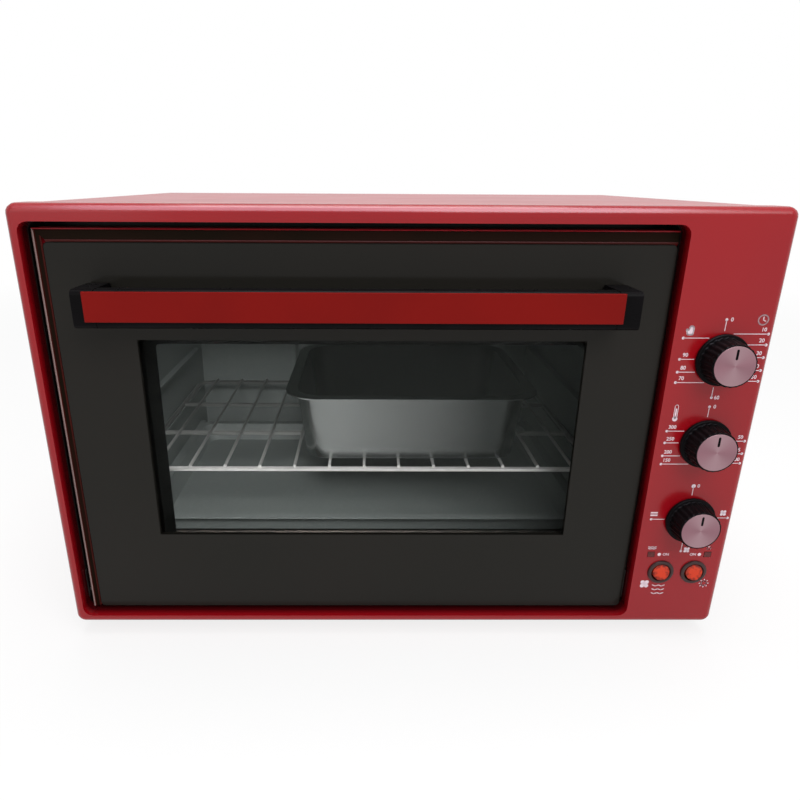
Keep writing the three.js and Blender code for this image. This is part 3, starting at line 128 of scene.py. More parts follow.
class Shader:
    """A Principled material with a few procedural helpers.

    Its inputs are given by their names, with _ for a space.
    """

    def __init__(self, name, colour, **sockets):
        self.material = bpy.data.materials.new(name)
        self.material.use_nodes = True
        self.tree = self.material.node_tree
        self.base = self.tree.nodes["Principled BSDF"]
        self.colour = colour
        self.base.inputs["Base Color"].default_value = colour
        for socket, value in sockets.items():
            self.base.inputs[socket.replace("_", " ")].default_value = value

    def add(self, kind, **values):
        node = self.tree.nodes.new(kind)
        for key, value in values.items():
            if key in node.inputs:
                node.inputs[key].default_value = value
            else:
                setattr(node, key, value)
        return node

    def link(self, source, target):
        self.tree.links.new(source, target)

    def place(self, output="Object", **mapping):
        spot = self.add("ShaderNodeTexCoord")
        turn = self.add("ShaderNodeMapping", **mapping)
        self.link(spot.outputs[output], turn.inputs["Vector"])
        return turn.outputs["Vector"]

    def noise(self, scale, detail=3, **mapping):
        node = self.add("ShaderNodeTexNoise", Scale=scale, Detail=detail)
        self.link(self.place(**mapping), node.inputs["Vector"])
        return node.outputs["Fac"]

    def gradient(self, kind, **mapping):
        """A linear, radial or spherical gradient over the box round the piece."""
        node = self.add("ShaderNodeTexGradient", gradient_type=kind)
        self.link(self.place("Generated", **mapping), node.inputs["Vector"])
        return node.outputs["Fac"]

    def inward(self, name):
        """1 on the faces that look to the middle of the node's box, 0 on the others."""
        low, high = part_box(name)
        spot = self.add("ShaderNodeTexCoord")
        away = self.add("ShaderNodeVectorMath", operation="SUBTRACT")
        away.inputs[1].default_value = (low + high) / 2
        self.link(spot.outputs["Object"], away.inputs[0])
        outward = self.add("ShaderNodeVectorMath", operation="DOT_PRODUCT")
        self.link(away.outputs["Vector"], outward.inputs[0])
        self.link(spot.outputs["Normal"], outward.inputs[1])
        return self.maths("LESS_THAN", outward.outputs["Value"], 0.0)

    def maths(self, operation, first, second):
        return maths(self.tree, operation, first, second)

    def ranged(self, source, low, high, start=0.0, end=1.0):
        """Maps the source, from start to end, onto low to high."""
        node = self.add("ShaderNodeMapRange")
        for index, value in enumerate((start, end, low, high), start=1):
            node.inputs[index].default_value = value
        self.link(source, node.inputs[0])
        return node.outputs[0]

    def vary_colour(self, source, other, start=COLOUR_RANGE[0], end=COLOUR_RANGE[1]):
        """Blends the colour so far into another, as the source goes from start to end."""
        mix = self.add("ShaderNodeMix", data_type="RGBA")
        first, second = [socket for socket in mix.inputs if socket.type == "RGBA"]
        first.default_value = self.colour
        second.default_value = other
        for earlier in self.base.inputs["Base Color"].links:
            self.link(earlier.from_socket, first)
        share = self.ranged(source, 0.0, 1.0, start, end)
        self.link(share, mix.inputs[0])
        result = next(socket for socket in mix.outputs if socket.type == "RGBA")
        self.link(result, self.base.inputs["Base Color"])
        return self

    def vary_roughness(self, source, low, high):
        varied = self.ranged(source, low, high, *ROUGHNESS_RANGE)
        self.link(varied, self.base.inputs["Roughness"])
        return self

    def bump(self, source, distance, strength=1.0):
        node = self.add("ShaderNodeBump", Strength=strength, Distance=distance)
        self.link(source, node.inputs["Height"])
        self.link(node.outputs["Normal"], self.base.inputs["Normal"])
        return self


def red_paint():
    shader = Shader(
        "red_paint", srgb(143, 11, 25),
        Specular_IOR_Level=0.2, Coat_Weight=0.4, Coat_Roughness=0.2, Coat_IOR=1.4,
    )
    shader.vary_colour(shader.noise(7, detail=2), srgb(136, 10, 23))
    shader.vary_roughness(shader.noise(22), 0.37, 0.41)
    return shader.bump(shader.noise(900, detail=2), distance=0.03 * MM, strength=0.35).material


def red_moulding():
    """Gloss moulding, with painted shade that darkens the recess walls towards the bottom of the
    recess the door closes into.
    """
    shader = Shader(
        "red_moulding", srgb(150, 6, 17),
        Specular_IOR_Level=0.0, Coat_Weight=0.85, Coat_Roughness=0.2, Coat_IOR=1.47,
    )
    shader.vary_colour(shader.noise(6, detail=2), srgb(144, 6, 19))
    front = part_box("front_bezel")[0].y
    place = shader.add("ShaderNodeSeparateXYZ")
    shader.link(shader.place(), place.inputs[0])
    depth = shader.ranged(
        place.outputs["Y"], low=0.0, high=1.0,
        start=front + RECESS_SHADE_START, end=front + RECESS_SHADE_END,
    )
    # Painted shade: the inward walls of the recess darken with depth
    shade = shader.maths("MULTIPLY", depth, shader.inward("front_bezel"))
    shader.vary_colour(shade, srgb(66, 4, 9), start=0.0, end=1.0)
    shader.vary_roughness(shader.noise(30), 0.30, 0.40)
    return shader.bump(shader.noise(1300, detail=2), distance=0.02 * MM, strength=0.3).material


# Painted shade: near black, for the shadow in the rim's channel
def channel_red():
    shader = Shader("channel_red", srgb(20, 11, 3), Roughness=0.5, Specular_IOR_Level=0.04)
    return shader.vary_colour(shader.noise(12, detail=2), srgb(30, 12, 5)).material


# Painted shade: dark red, for the beads of the rim that lie in shade
def bead_red():
    shader = Shader("bead_red", srgb(64, 12, 6), Roughness=0.45, Specular_IOR_Level=0.1)
    return shader.vary_colour(shader.noise(12, detail=2), srgb(52, 10, 5)).material


# Painted highlight: grey, for light caught on the outer edge of the left bead
def edge_grey():
    shader = Shader("edge_grey", srgb(146, 124, 120), Roughness=0.45, Specular_IOR_Level=0.1)
    return shader.vary_colour(shader.noise(12, detail=2), srgb(132, 114, 111)).material


def handle_red():
    shader = Shader("handle_red", srgb(122, 11, 6), Roughness=0.5, Specular_IOR_Level=0.1)
    shader.vary_colour(shader.noise(14, detail=2), srgb(116, 10, 6))
    return shader.bump(shader.noise(1100, detail=2), distance=0.02 * MM, strength=0.3).material


def zinc_sheet():
    shader = Shader("zinc_sheet", srgb(172, 173, 171), Metallic=0.9)
    flakes = shader.add("ShaderNodeTexVoronoi", Scale=130.0)
    shader.link(shader.place(), flakes.inputs["Vector"])
    shader.vary_colour(flakes.outputs["Color"], srgb(156, 158, 158), start=0.1, end=0.9)
    shader.vary_roughness(shader.noise(60), 0.35, 0.43)
    return shader.bump(shader.noise(500), distance=0.03 * MM, strength=0.3).material


def enamel(name, colour, speck, roughness, gloss):
    """Glassy coat with fine specks of a second colour."""
    shader = Shader(name, colour, Specular_IOR_Level=gloss)
    shader.vary_colour(shader.noise(420, detail=1), speck, start=0.62, end=0.68)
    shader.vary_roughness(shader.noise(30), *roughness)
    return shader.bump(shader.noise(380, detail=2), distance=0.05 * MM, strength=0.25).material


def grey_enamel():
    colour, speck = srgb(116, 122, 120), srgb(130, 135, 133)
    return enamel("grey_enamel", colour, speck, roughness=(0.40, 0.45), gloss=0.25)


def dark_enamel():
    colour, speck = srgb(17, 17, 16), srgb(30, 30, 29)
    return enamel("dark_enamel", colour, speck, roughness=(0.34, 0.39), gloss=0.15)


def pan_metal(name):
    """Polished outside, with a painted reflection gradient that darkens it to the right, and a dark
    coat on the faces that look in.
    """
    shader = Shader("pan_metal", srgb(166, 170, 168))
    # Painted reflection: the outside darkens from left to right
    shader.vary_colour(shader.gradient("LINEAR"), srgb(62, 65, 64), start=0.2, end=0.8)
    coated = shader.inward(name)
    shader.vary_colour(coated, srgb(20, 20, 20), start=0.0, end=1.0)
    shader.link(shader.maths("SUBTRACT", 1.0, coated), shader.base.inputs["Metallic"])
    shader.link(shader.ranged(coated, low=0.26, high=0.5), shader.base.inputs["Roughness"])
    grain = shader.noise(1, detail=2, Scale=PAN_GRAIN)
    return shader.bump(grain, distance=0.02 * MM, strength=0.1).material


def rack_wire():
    """Plated wire, darkened towards the back with painted shade."""
    shader = Shader("rack_wire", srgb(240, 240, 236), Roughness=0.3, Metallic=0.6)
    painted_shade_to_back = shader.gradient("LINEAR", Rotation=(0.0, 0.0, -QUARTER))
    shader.vary_colour(shader.noise(90, detail=2), srgb(226, 226, 222))
    # Painted shade: the wire darkens towards the back of the oven
    shader.vary_colour(painted_shade_to_back, srgb(128, 129, 127), start=0.03, end=0.4)
    return shader.bump(shader.noise(700, detail=2), distance=0.02 * MM, strength=0.3).material


def hinge_steel():
    shader = Shader("hinge_steel", srgb(48, 47, 46), Roughness=0.45, Metallic=0.8)
    shader.vary_colour(shader.noise(120, detail=3), srgb(62, 60, 58))
    return shader.bump(shader.noise(600, detail=2), distance=0.03 * MM, strength=0.3).material


def bright_steel():
    shader = Shader("bright_steel", srgb(205, 205, 203), Metallic=1.0)
    shader.vary_roughness(shader.noise(120), 0.14, 0.28)
    return shader.bump(shader.noise(700, detail=2), distance=0.02 * MM, strength=0.3).material


def heater_metal():
    shader = Shader("heater_metal", srgb(92, 84, 78), Roughness=0.48, Metallic=0.7)
    shader.vary_colour(shader.noise(60, detail=4), srgb(66, 60, 58))
    return shader.bump(shader.noise(900, detail=3), distance=0.04 * MM, strength=0.4).material


def brushed_silver():
    """Turned aluminium: fine rings, and two painted highlight lobes round the face; its pink tint
    is a painted reflection of the red panel.
    """
    shader = Shader(
        "brushed_silver", srgb(162, 130, 137), Roughness=0.36, Metallic=0.85, Anisotropic=0.7
    )
    tangent = shader.add("ShaderNodeTangent", direction_type="RADIAL", axis="Y")
    shader.link(tangent.outputs["Tangent"], shader.base.inputs["Tangent"])
    # Painted highlight: two light and two dark lobes round the face
    round_turn = shader.gradient(
        "RADIAL", Location=(-0.5, 0.5, 0.0), Rotation=(QUARTER, 0.0, 0.0)
    )
    painted_lobe_turn = shader.maths("MULTIPLY", round_turn, 2 * math.pi * HIGHLIGHT_LOBES)
    painted_lobes = shader.maths("COSINE", painted_lobe_turn, 0.0)
    return shader.vary_colour(painted_lobes, srgb(141, 103, 112), start=-1.0, end=1.0).material


def black_plastic():
    shader = Shader("black_plastic", srgb(10, 9, 10), Specular_IOR_Level=0.04)
    shader.vary_colour(shader.noise(30, detail=2), srgb(15, 13, 15))
    shader.vary_roughness(shader.noise(80), 0.24, 0.38)
    return shader.bump(shader.noise(1500, detail=2), distance=0.02 * MM, strength=0.4).material


def switch_plastic():
    shader = Shader("switch_plastic", srgb(52, 34, 34), Roughness=0.34, Specular_IOR_Level=0.25)
    shader.vary_colour(shader.noise(60, detail=2), srgb(62, 42, 41))
    return shader.bump(shader.noise(1500, detail=2), distance=0.02 * MM, strength=0.4).material


def foot_rubber():
    shader = Shader("foot_rubber", srgb(22, 22, 22), Roughness=0.75)
    shader.vary_colour(shader.noise(70, detail=3), srgb(34, 33, 32))
    return shader.bump(shader.noise(900, detail=3), distance=0.06 * MM, strength=0.5).material


def dark_glass():
    shader = Shader("dark_glass", srgb(36, 34, 31), Specular_IOR_Level=0.1)
    shader.vary_colour(shader.noise(5, detail=2), srgb(34, 33, 30))
    shader.vary_roughness(shader.noise(9), 0.10, 0.16)
    return shader.material


def window_glass():
    shader = Shader("window_glass", srgb(5, 5, 4), Alpha=0.12, Specular_IOR_Level=0.02)
    shader.vary_roughness(shader.noise(9), 0.03, 0.06)
    return shader.material


def clear_glass():
    shader = Shader("clear_glass", srgb(150, 158, 152), Alpha=0.04, Specular_IOR_Level=0.2)
    shader.vary_roughness(shader.noise(12), 0.02, 0.05)
    return shader.material


def seal_rubber():
    shader = Shader("seal_rubber", srgb(58, 54, 48), Roughness=0.85)
    weave = shader.add("ShaderNodeTexWave", Scale=260.0, Distortion=1.2)
    shader.link(shader.place(), weave.inputs["Vector"])
    shader.vary_colour(weave.outputs["Fac"], srgb(36, 34, 31))
    return shader.bump(weave.outputs["Fac"], distance=0.2 * MM, strength=0.6).material


def amber_plastic():
    """Painted glow, as though lit from behind: brightest in the middle, mottled, dark red at the
    rim.
    """
    # Painted glow: a faint emission, though no lamp is lit in the switch
    shader = Shader(
        "amber_plastic", srgb(104, 22, 14), Roughness=0.22, Specular_IOR_Level=0.25,
        Emission_Color=srgb(255, 60, 12), Emission_Strength=0.02,
    )
    # Painted glow: lightest in the middle and in mottled patches
    middle = shader.gradient("SPHERICAL", Location=(-1.0, 0.0, -1.0), Scale=(2.0, 0.0, 2.0))
    patches = shader.noise(340, detail=2)
    mottle = shader.ranged(patches, low=-0.3, high=0.3, start=0.3, end=0.7)
    glow = shader.maths("ADD", middle, mottle)
    return shader.vary_colour(glow, srgb(204, 56, 24), start=0.0, end=0.5).material


def dark_red_lens():
    shader = Shader("dark_red_lens", srgb(70, 8, 10), Roughness=0.15, Specular_IOR_Level=0.4)
    shader.vary_colour(shader.noise(500, detail=2), srgb(98, 16, 14))
    return shader.material


def white_ceramic():
    shader = Shader("white_ceramic", srgb(226, 222, 214), Roughness=0.38)
    shader.vary_colour(shader.noise(90, detail=3), srgb(214, 208, 198))
    return shader.bump(shader.noise(800, detail=2), distance=0.04 * MM, strength=0.4).material


def print_white():
    shader = Shader("print_white", srgb(232, 214, 222), Roughness=0.5, Specular_IOR_Level=0.2)
    shader.vary_colour(shader.noise(300, detail=2), srgb(218, 196, 206))
    return shader.material


SLOTS = {
    "red_paint": red_paint(),
    "red_moulding": red_moulding(),
    "handle_red": handle_red(),
    "zinc_sheet": zinc_sheet(),
    "grey_enamel": grey_enamel(),
    "dark_enamel": dark_enamel(),
    "bright_steel": bright_steel(),
    "heater_metal": heater_metal(),
    "brushed_silver": brushed_silver(),
    "black_plastic": black_plastic(),
    "foot_rubber": foot_rubber(),
    "dark_glass": dark_glass(),
    "clear_glass": clear_glass(),
    "seal_rubber": seal_rubber(),
    "amber_plastic": amber_plastic(),
    "dark_red_lens": dark_red_lens(),
    "white_ceramic": white_ceramic(),
}


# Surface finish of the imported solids: welded, flat faces merged and kept level, edges softened

CREASE_ANGLE = math.radians(38)
MERGE_ANGLE = math.radians(0.5)
BEVEL_ANGLE = math.radians(40)
BEVEL_SEGMENTS = 2


def crisp_group(angle):
    """Smooth faces, with the edges that bend more than the angle kept sharp."""
    group = bpy.data.node_groups.new("crisp", "GeometryNodeTree")
    group.interface.new_socket("Geometry", in_out="INPUT", socket_type="NodeSocketGeometry")
    group.interface.new_socket("Geometry", in_out="OUTPUT", socket_type="NodeSocketGeometry")
    entry = group.nodes.new("NodeGroupInput")
    exit_node = group.nodes.new("NodeGroupOutput")
    faces = group.nodes.new("GeometryNodeSetShadeSmooth")
    faces.domain = "FACE"
    edges = group.nodes.new("GeometryNodeSetShadeSmooth")
    edges.domain = "EDGE"
    edges.inputs["Shade Smooth"].default_value = False
    bend = group.nodes.new("GeometryNodeInputMeshEdgeAngle")
    sharp = group.nodes.new("FunctionNodeCompare")
    sharp.operation = "GREATER_THAN"
    sharp.inputs["B"].default_value = angle
    group.links.new(entry.outputs[0], faces.inputs["Geometry"])
    group.links.new(faces.outputs[0], edges.inputs["Geometry"])
    group.links.new(bend.outputs["Unsigned Angle"], sharp.inputs["A"])
    group.links.new(sharp.outputs[0], edges.inputs["Selection"])
    group.links.new(edges.outputs[0], exit_node.inputs[0])
    return group


CRISP = crisp_group(CREASE_ANGLE)


def soften(target, width):
    weld = target.modifiers.new("weld", "WELD")
    weld.merge_threshold = MERGE_DISTANCE
    merge = target.modifiers.new("merge", "DECIMATE")
    merge.decimate_type = "DISSOLVE"
    merge.angle_limit = MERGE_ANGLE
    if width:
        bevel = target.modifiers.new("bevel", "BEVEL")
        bevel.width = width
        bevel.segments = BEVEL_SEGMENTS
        bevel.limit_method = "ANGLE"
        bevel.angle_limit = BEVEL_ANGLE
        bevel.harden_normals = False
    smooth = target.modifiers.new("smooth", "NODES")
    smooth.node_group = CRISP
    level = target.modifiers.new("level", "WEIGHTED_NORMAL")
    level.keep_sharp = True


EDGE_WIDTHS = {
    "handle_bar": 0.8 * MM,
    "handle_strip": 0.6 * MM,
    "front_bezel": 0.3 * MM,
    "door_pan": 0.3 * MM,
    "cabinet_wrap": 0.3 * MM,
    "drip_tray": 0.2 * MM,
    "baking_pan": 0.2 * MM,
    "heating_pilot_lens": 0.5 * MM,
    "power_pilot_lens": 0.5 * MM,
    "fan_rocker": 0.3 * MM,
    "lamp_rocker": 0.3 * MM,
}
HINGE_STEEL = hinge_steel()
OWN_FINISHES = {
    "baking_pan": pan_metal("baking_pan"),
    "wire_rack": rack_wire(),
    "hinge_arm_left": HINGE_STEEL,
    "hinge_arm_right": HINGE_STEEL,
    "hinge_plate_left": HINGE_STEEL,
    "hinge_plate_right": HINGE_STEEL,
}


def dress(name, finish):
    target = nodes[name]
    target.data.materials.clear()
    target.data.materials.append(finish)
    soften(target, EDGE_WIDTHS.get(name, 0.0))


for part in frame["record"]["subparts"]:
    dress(part["node"], OWN_FINISHES.get(part["node"], SLOTS[part["material_slot"]]))


# Mesh helpers for the pieces made here

CREASE_DEGREES = 35
LATHE_SIDES = 96


def mesh_piece(name, vertices, faces, body, materials, smooth=True, angle=CREASE_DEGREES):
    """A piece on a body; each face is its corners and the place of its material."""
    mesh = bpy.data.meshes.new(name)
    mesh.from_pydata([tuple(v) for v in vertices], [], [face[0] for face in faces])
    for material in materials:
        mesh.materials.append(material)
    for polygon, face in zip(mesh.polygons, faces):
        polygon.material_index = face[1]
        polygon.use_smooth = smooth
    mesh.validate()
    if smooth:
        mesh.set_sharp_from_angle(angle=math.radians(angle))
    made = bpy.data.objects.new(name, mesh)
    bpy.context.scene.collection.objects.link(made)
    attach(made, body)
    return made


def arc(centre_r, centre_y, radius, start, end, steps=6):
    """Points (r, y) on an arc; angles in degrees, 0 along r and 90 towards the front."""
    points = []
    for step in range(steps + 1):
        angle = math.radians(start + (end - start) * step / steps)
        points.append(
            (centre_r + radius * math.cos(angle), centre_y - radius * math.sin(angle))
        )
    return points


def lathe(name, profile, x, z, body, material, sides=LATHE_SIDES, flutes=(0, 0.0)):
    """Turns a profile of (radius, y) about the line along Y through (x, z).

    A point with a third entry is fluted: flutes holds their number and depth share.
    """
    count, depth_share = flutes
    vertices, rings, faces = [], [], []
    for radius, y, *fluted in profile:
        if radius < MERGE_DISTANCE:
            rings.append([len(vertices)])
            vertices.append((x, y, z))
            continue
        ring = []
        for side in range(sides):
            turn = 2 * math.pi * side / sides
            reach = radius
            if fluted:
                reach *= 1 - depth_share * (1 - math.cos(count * turn)) / 2
            ring.append(len(vertices))
            vertices.append((x + reach * math.sin(turn), y, z + reach * math.cos(turn)))
        rings.append(ring)
    for first, second in zip(rings, rings[1:]):
        for side in range(sides):
            after = (side + 1) % sides
            a = first[side % len(first)]
            b = first[after % len(first)]
            c = second[after % len(second)]
            d = second[side % len(second)]
            corners = list(dict.fromkeys((a, b, c, d)))
            if len(corners) > 2:
                faces.append((corners[::-1], 0))
    return mesh_piece(name, vertices, faces, body, [material])


def rounded(left, right, bottom, top, radius, steps=8):
    """Outline of a rounded rectangle as (x, z) points, anticlockwise from the right side."""
    points = []
    corners = (
        (right - radius, top - radius, 0),
        (left + radius, top - radius, 90),
        (left + radius, bottom + radius, 180),
        (right - radius, bottom + radius, 270),
    )
    for x, z, start in corners:
        for step in range(steps + 1):
            angle = math.radians(start + 90 * step / steps)
            points.append((x + radius * math.cos(angle), z + radius * math.sin(angle)))
    return points


def grown(area, amount):
    left, right, bottom, top = area
    return (left - amount, right + amount, bottom - amount, top + amount)


# Outer door glass: black print round a clear window

WINDOW_FROM_LEFT = 70.3 * MM
WINDOW_FROM_RIGHT = 61.7 * MM
WINDOW_FROM_BOTTOM = 77.5 * MM
WINDOW_FROM_TOP = 86.8 * MM
WINDOW_CORNER = 1.0 * MM
GLASS_CORNER = 4.0 * MM
GLASS_CHAMFER = 0.7 * MM
GLASS_CREASE_DEGREES = 20
PRINTED, CLEAR = 0, 1


def door_glass():
    low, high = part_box("door_outer_glass")
    door_low, door_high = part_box("door_pan")
    window = (
        door_low.x + WINDOW_FROM_LEFT, door_high.x - WINDOW_FROM_RIGHT,
        door_low.z + WINDOW_FROM_BOTTOM, door_high.z - WINDOW_FROM_TOP,
    )
    area = (low.x, high.x, low.z, high.z)
    facing = grown(area, -GLASS_CHAMFER)
    loops = [
        (window, WINDOW_CORNER, low.y),
        (facing, GLASS_CORNER - GLASS_CHAMFER, low.y),
        (area, GLASS_CORNER, low.y + GLASS_CHAMFER),
        (area, GLASS_CORNER, high.y - GLASS_CHAMFER),
        (facing, GLASS_CORNER - GLASS_CHAMFER, high.y),
        (window, WINDOW_CORNER, high.y),
    ]
    vertices, faces, rings = [], [], []
    for shape, radius, y in loops:
        outline = rounded(*shape, radius)
        rings.append(range(len(vertices), len(vertices) + len(outline)))
        vertices += [(px, y, pz) for px, pz in outline]
    count = len(rings[0])
    for first, second in zip(rings, rings[1:]):
        for i in range(count):
            j = (i + 1) % count
            faces.append(((first[i], first[j], second[j], second[i]), PRINTED))
    faces.append((tuple(rings[0])[::-1], CLEAR))
    faces.append((tuple(rings[-1]), CLEAR))
    pane = mesh_piece(
        "door_glass_pane", vertices, faces, "door", [SLOTS["dark_glass"], window_glass()],
        angle=GLASS_CREASE_DEGREES,
    )
    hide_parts("door_outer_glass")


door_glass()


# Door rim: a rolled bead along the outer edge, a channel and a bead beside the glass, with painted
# shade in the channel and on the darker beads, and a painted highlight on the outer edge of the
# left bead

BEAD_TALL = 1.1 * MM
INNER_BEAD_TALL = 0.5 * MM
CHANNEL_LIFT = 0.05 * MM
RIM_END_GAP = 1.0 * MM
BEAD_STEPS = 6
OUTER_STEPS = 4
BEAD_WIDE = 1.3 * MM
SIDE_BEAD_WIDE = 2.4 * MM
TOP_CHANNEL_END = 8.7 * MM
SIDE_CHANNEL_END = 5.4 * MM
RIM_GAP = 0.2 * MM
# Rim finishes: red paint, painted shade for the channel and the darker beads, and a painted
# highlight on the left edge
RIM_FINISHES = [SLOTS["red_paint"], channel_red(), bead_red(), edge_grey()]
PAINTED, SHADED_CHANNEL, SHADED_BEAD, HIGHLIGHT_EDGE = range(len(RIM_FINISHES))


def rim_section(margin, bead, channel):
    """Points (across, forward) of a rim, from the outer edge to the glass."""
    points = []
    for start, end, tall in ((0.0, bead, BEAD_TALL), (channel, margin, INNER_BEAD_TALL)):
        for step in range(BEAD_STEPS + 1):
            turn = math.pi * step / BEAD_STEPS
            across = (start + end) / 2 - (end - start) / 2 * math.cos(turn)
            points.append((across, CHANNEL_LIFT + tall * math.sin(turn)))
    return points


def door_rim(name, section, first, second, bead_finishes):
    """Sweeps a section between two ends, each a function from (across, forward) to a point.

    bead_finishes holds two finishes of the outer bead: its outer part, then the rest.
    """
    vertices = [end(*point) for end in (first, second) for point in section]
    count = len(section)
    faces = []
    for i in range(count - 1):
        finish = SHADED_CHANNEL if i == BEAD_STEPS else SHADED_BEAD
        if i < BEAD_STEPS:
            finish = bead_finishes[i >= OUTER_STEPS]
        faces.append(((i, i + 1, count + i + 1, count + i), finish))
    rim = mesh_piece(name, vertices, faces, "door", RIM_FINISHES)


def door_rims():
    low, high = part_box("door_pan")
    glass_low, glass_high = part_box("door_outer_glass")
    front = low.y
    top = rim_section(high.z - glass_high.z - RIM_GAP, BEAD_WIDE, TOP_CHANNEL_END)
    door_rim(
        "door_rim_top", top,
        lambda across, forward: (low.x + across, front - forward, high.z - across),
        lambda across, forward: (high.x - RIM_END_GAP, front - forward, high.z - across),
        (PAINTED, PAINTED),
    )
    side = rim_section(glass_low.x - low.x - RIM_GAP, SIDE_BEAD_WIDE, SIDE_CHANNEL_END)
    door_rim(
        "door_rim_left", side,
        lambda across, forward: (low.x + across, front - forward, low.z + RIM_END_GAP),
        lambda across, forward: (low.x + across, front - forward, high.z - across),
        (HIGHLIGHT_EDGE, SHADED_BEAD),
    )


door_rims()


# Knobs: fluted black body, brushed face with a pointer groove

SKIRT_DEPTH = 3.0 * MM
SKIRT_EDGE = 0.8 * MM
SKIRT_BACK_EDGE = 0.3 * MM
GRIP_ROOT_RADIUS = 18.8 * MM
GRIP_TIP_RADIUS = 17.6 * MM
GRIP_FILLET = 1.1 * MM
GRIP_CROWN = 0.9 * MM
GRIP_STEPS = 8
GRIP_START_SHARE = 1.5
GRIP_END_SHARE = 1.3
CROWN_START_DEGREES = 8
CROWN_STEPS = 6
SKIRT_STEPS = 5
RIM_WIDTH = 1.2 * MM
FLUTE_COUNT = 24
FLUTE_DEPTH = 0.8 * MM
FLUTE_SIDES = 240
FACE_RINGS = 60
FACE_RING_HEIGHT = 0.012 * MM
FACE_EDGE = 0.3 * MM
FACE_EDGE_STEPS = 4
POINTER_WIDTH = 1.9 * MM
POINTER_LENGTH = 8.5 * MM
POINTER_FROM_EDGE = 2.4 * MM
POINTER_PROUD = 0.06 * MM
POINTER_CORNER_STEPS = 4


def knob(name, body):
    """A skirt, a fluted grip with a rounded crown, and a recess that holds the face."""
    low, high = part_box(f"{name}_knob")
    x, z = (low.x + high.x) / 2, (low.z + high.z) / 2
    skirt = (high.x - low.x) / 2
    front, back = low.y, high.y
    skirt_front = back - SKIRT_DEPTH
    floor_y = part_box(f"{name}_knob_face")[1].y
    profile = [(0.0, back), (skirt - SKIRT_BACK_EDGE, back), (skirt, back - SKIRT_BACK_EDGE)]
    profile += arc(skirt - SKIRT_EDGE, skirt_front + SKIRT_EDGE, SKIRT_EDGE, 0, 90, SKIRT_STEPS)
    flare = arc(
        GRIP_ROOT_RADIUS + GRIP_FILLET, skirt_front - GRIP_FILLET, GRIP_FILLET,
        270, 180, SKIRT_STEPS,
    )
    profile += [(r, y, True) for r, y in flare]
    grip_start = skirt_front - GRIP_START_SHARE * GRIP_FILLET
    grip_end = front + GRIP_END_SHARE * GRIP_CROWN
    for step in range(GRIP_STEPS + 1):
        share = step / GRIP_STEPS
        radius = GRIP_ROOT_RADIUS + (GRIP_TIP_RADIUS - GRIP_ROOT_RADIUS) * share
        profile.append((radius, grip_start + (grip_end - grip_start) * share, True))
    crown = arc(
        GRIP_TIP_RADIUS - GRIP_CROWN, front + GRIP_CROWN, GRIP_CROWN,
        CROWN_START_DEGREES, 90, CROWN_STEPS,
    )
    profile += [(r, y, True) for r, y in crown[:-2]] + crown[-2:]
    recess = GRIP_TIP_RADIUS - RIM_WIDTH
    profile += [(recess, front), (recess, floor_y), (0.0, floor_y)]
    shell = lathe(
        f"{name}_knob_body", profile, x, z, body, SLOTS["black_plastic"], FLUTE_SIDES,
        (FLUTE_COUNT, FLUTE_DEPTH / GRIP_ROOT_RADIUS),
    )
    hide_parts(f"{name}_knob")
    knob_face(name, body, x, z)


def knob_face(name, body, x, z):
    """A turned disc with fine rings, and the pointer groove let into it as a dark bar."""
    low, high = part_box(f"{name}_knob_face")
    front, radius = low.y, (high.x - low.x) / 2
    flat = radius - FACE_EDGE
    profile = [(0.0, front)]
    for ring in range(1, FACE_RINGS + 1):
        profile.append((flat * ring / FACE_RINGS, front + FACE_RING_HEIGHT * (ring % 2)))
    profile += arc(flat, front + FACE_EDGE, FACE_EDGE, 90, 0, FACE_EDGE_STEPS)
    profile.append((radius, high.y))
    disc = lathe(f"{name}_face", profile[::-1], x, z, body, SLOTS["brushed_silver"])
    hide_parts(f"{name}_knob_face")
    half = POINTER_WIDTH / 2
    top = z + radius - POINTER_FROM_EDGE
    outline = rounded(x - half, x + half, top - POINTER_LENGTH, top, half, POINTER_CORNER_STEPS)
    vertices = [(px, front - POINTER_PROUD, pz) for px, pz in outline]
    vertices += [(px, high.y, pz) for px, pz in outline]
    count = len(outline)
    faces = [(tuple(range(count))[::-1], 0)]
    for i in range(count):
        j = (i + 1) % count
        faces.append(((i, j, count + j, count + i), 0))
    bar = mesh_piece(f"{name}_pointer", vertices, faces, body, [SLOTS["black_plastic"]])


for knob_name in ("timer", "thermostat", "function"):
    knob(knob_name, f"{knob_name}_dial")


# Round rocker switches

SWITCH_BORE_RADIUS = 8.6 * MM
SWITCH_BARREL_RADIUS = 9.7 * MM
SWITCH_LIP = 0.7 * MM
SWITCH_EDGE = 1.2 * MM
SWITCH_BORE_DEPTH = 15 * MM
SWITCH_SIDES = 72
SWITCH_LIP_STEPS = 5
SWITCH_EDGE_STEPS = 7


def switch(name):
    """The rounded flange and open barrel that a rocker sits in."""
    low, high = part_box(f"{name}_switch_body")
    x, z = (low.x + high.x) / 2, (low.z + high.z) / 2
    front, flange = low.y, (high.x - low.x) / 2
    seat_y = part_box("front_bezel")[0].y
    inner = SWITCH_BORE_RADIUS + SWITCH_LIP
    profile = [(SWITCH_BORE_RADIUS, seat_y + SWITCH_BORE_DEPTH)]
    profile += arc(inner, front + SWITCH_LIP, SWITCH_LIP, 180, 90, SWITCH_LIP_STEPS)
    profile += arc(
        flange - SWITCH_EDGE, front + SWITCH_EDGE, SWITCH_EDGE, 90, 0, SWITCH_EDGE_STEPS
    )
    profile += [(flange, seat_y), (SWITCH_BARREL_RADIUS, seat_y), (SWITCH_BARREL_RADIUS, high.y)]
    profile.append((0.0, high.y))
    ring = lathe(
        f"{name}_switch_ring", profile, x, z, "cabinet", switch_plastic(), SWITCH_SIDES
    )
    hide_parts(f"{name}_switch_body")


for switch_name in ("fan", "lamp"):
    switch(switch_name)


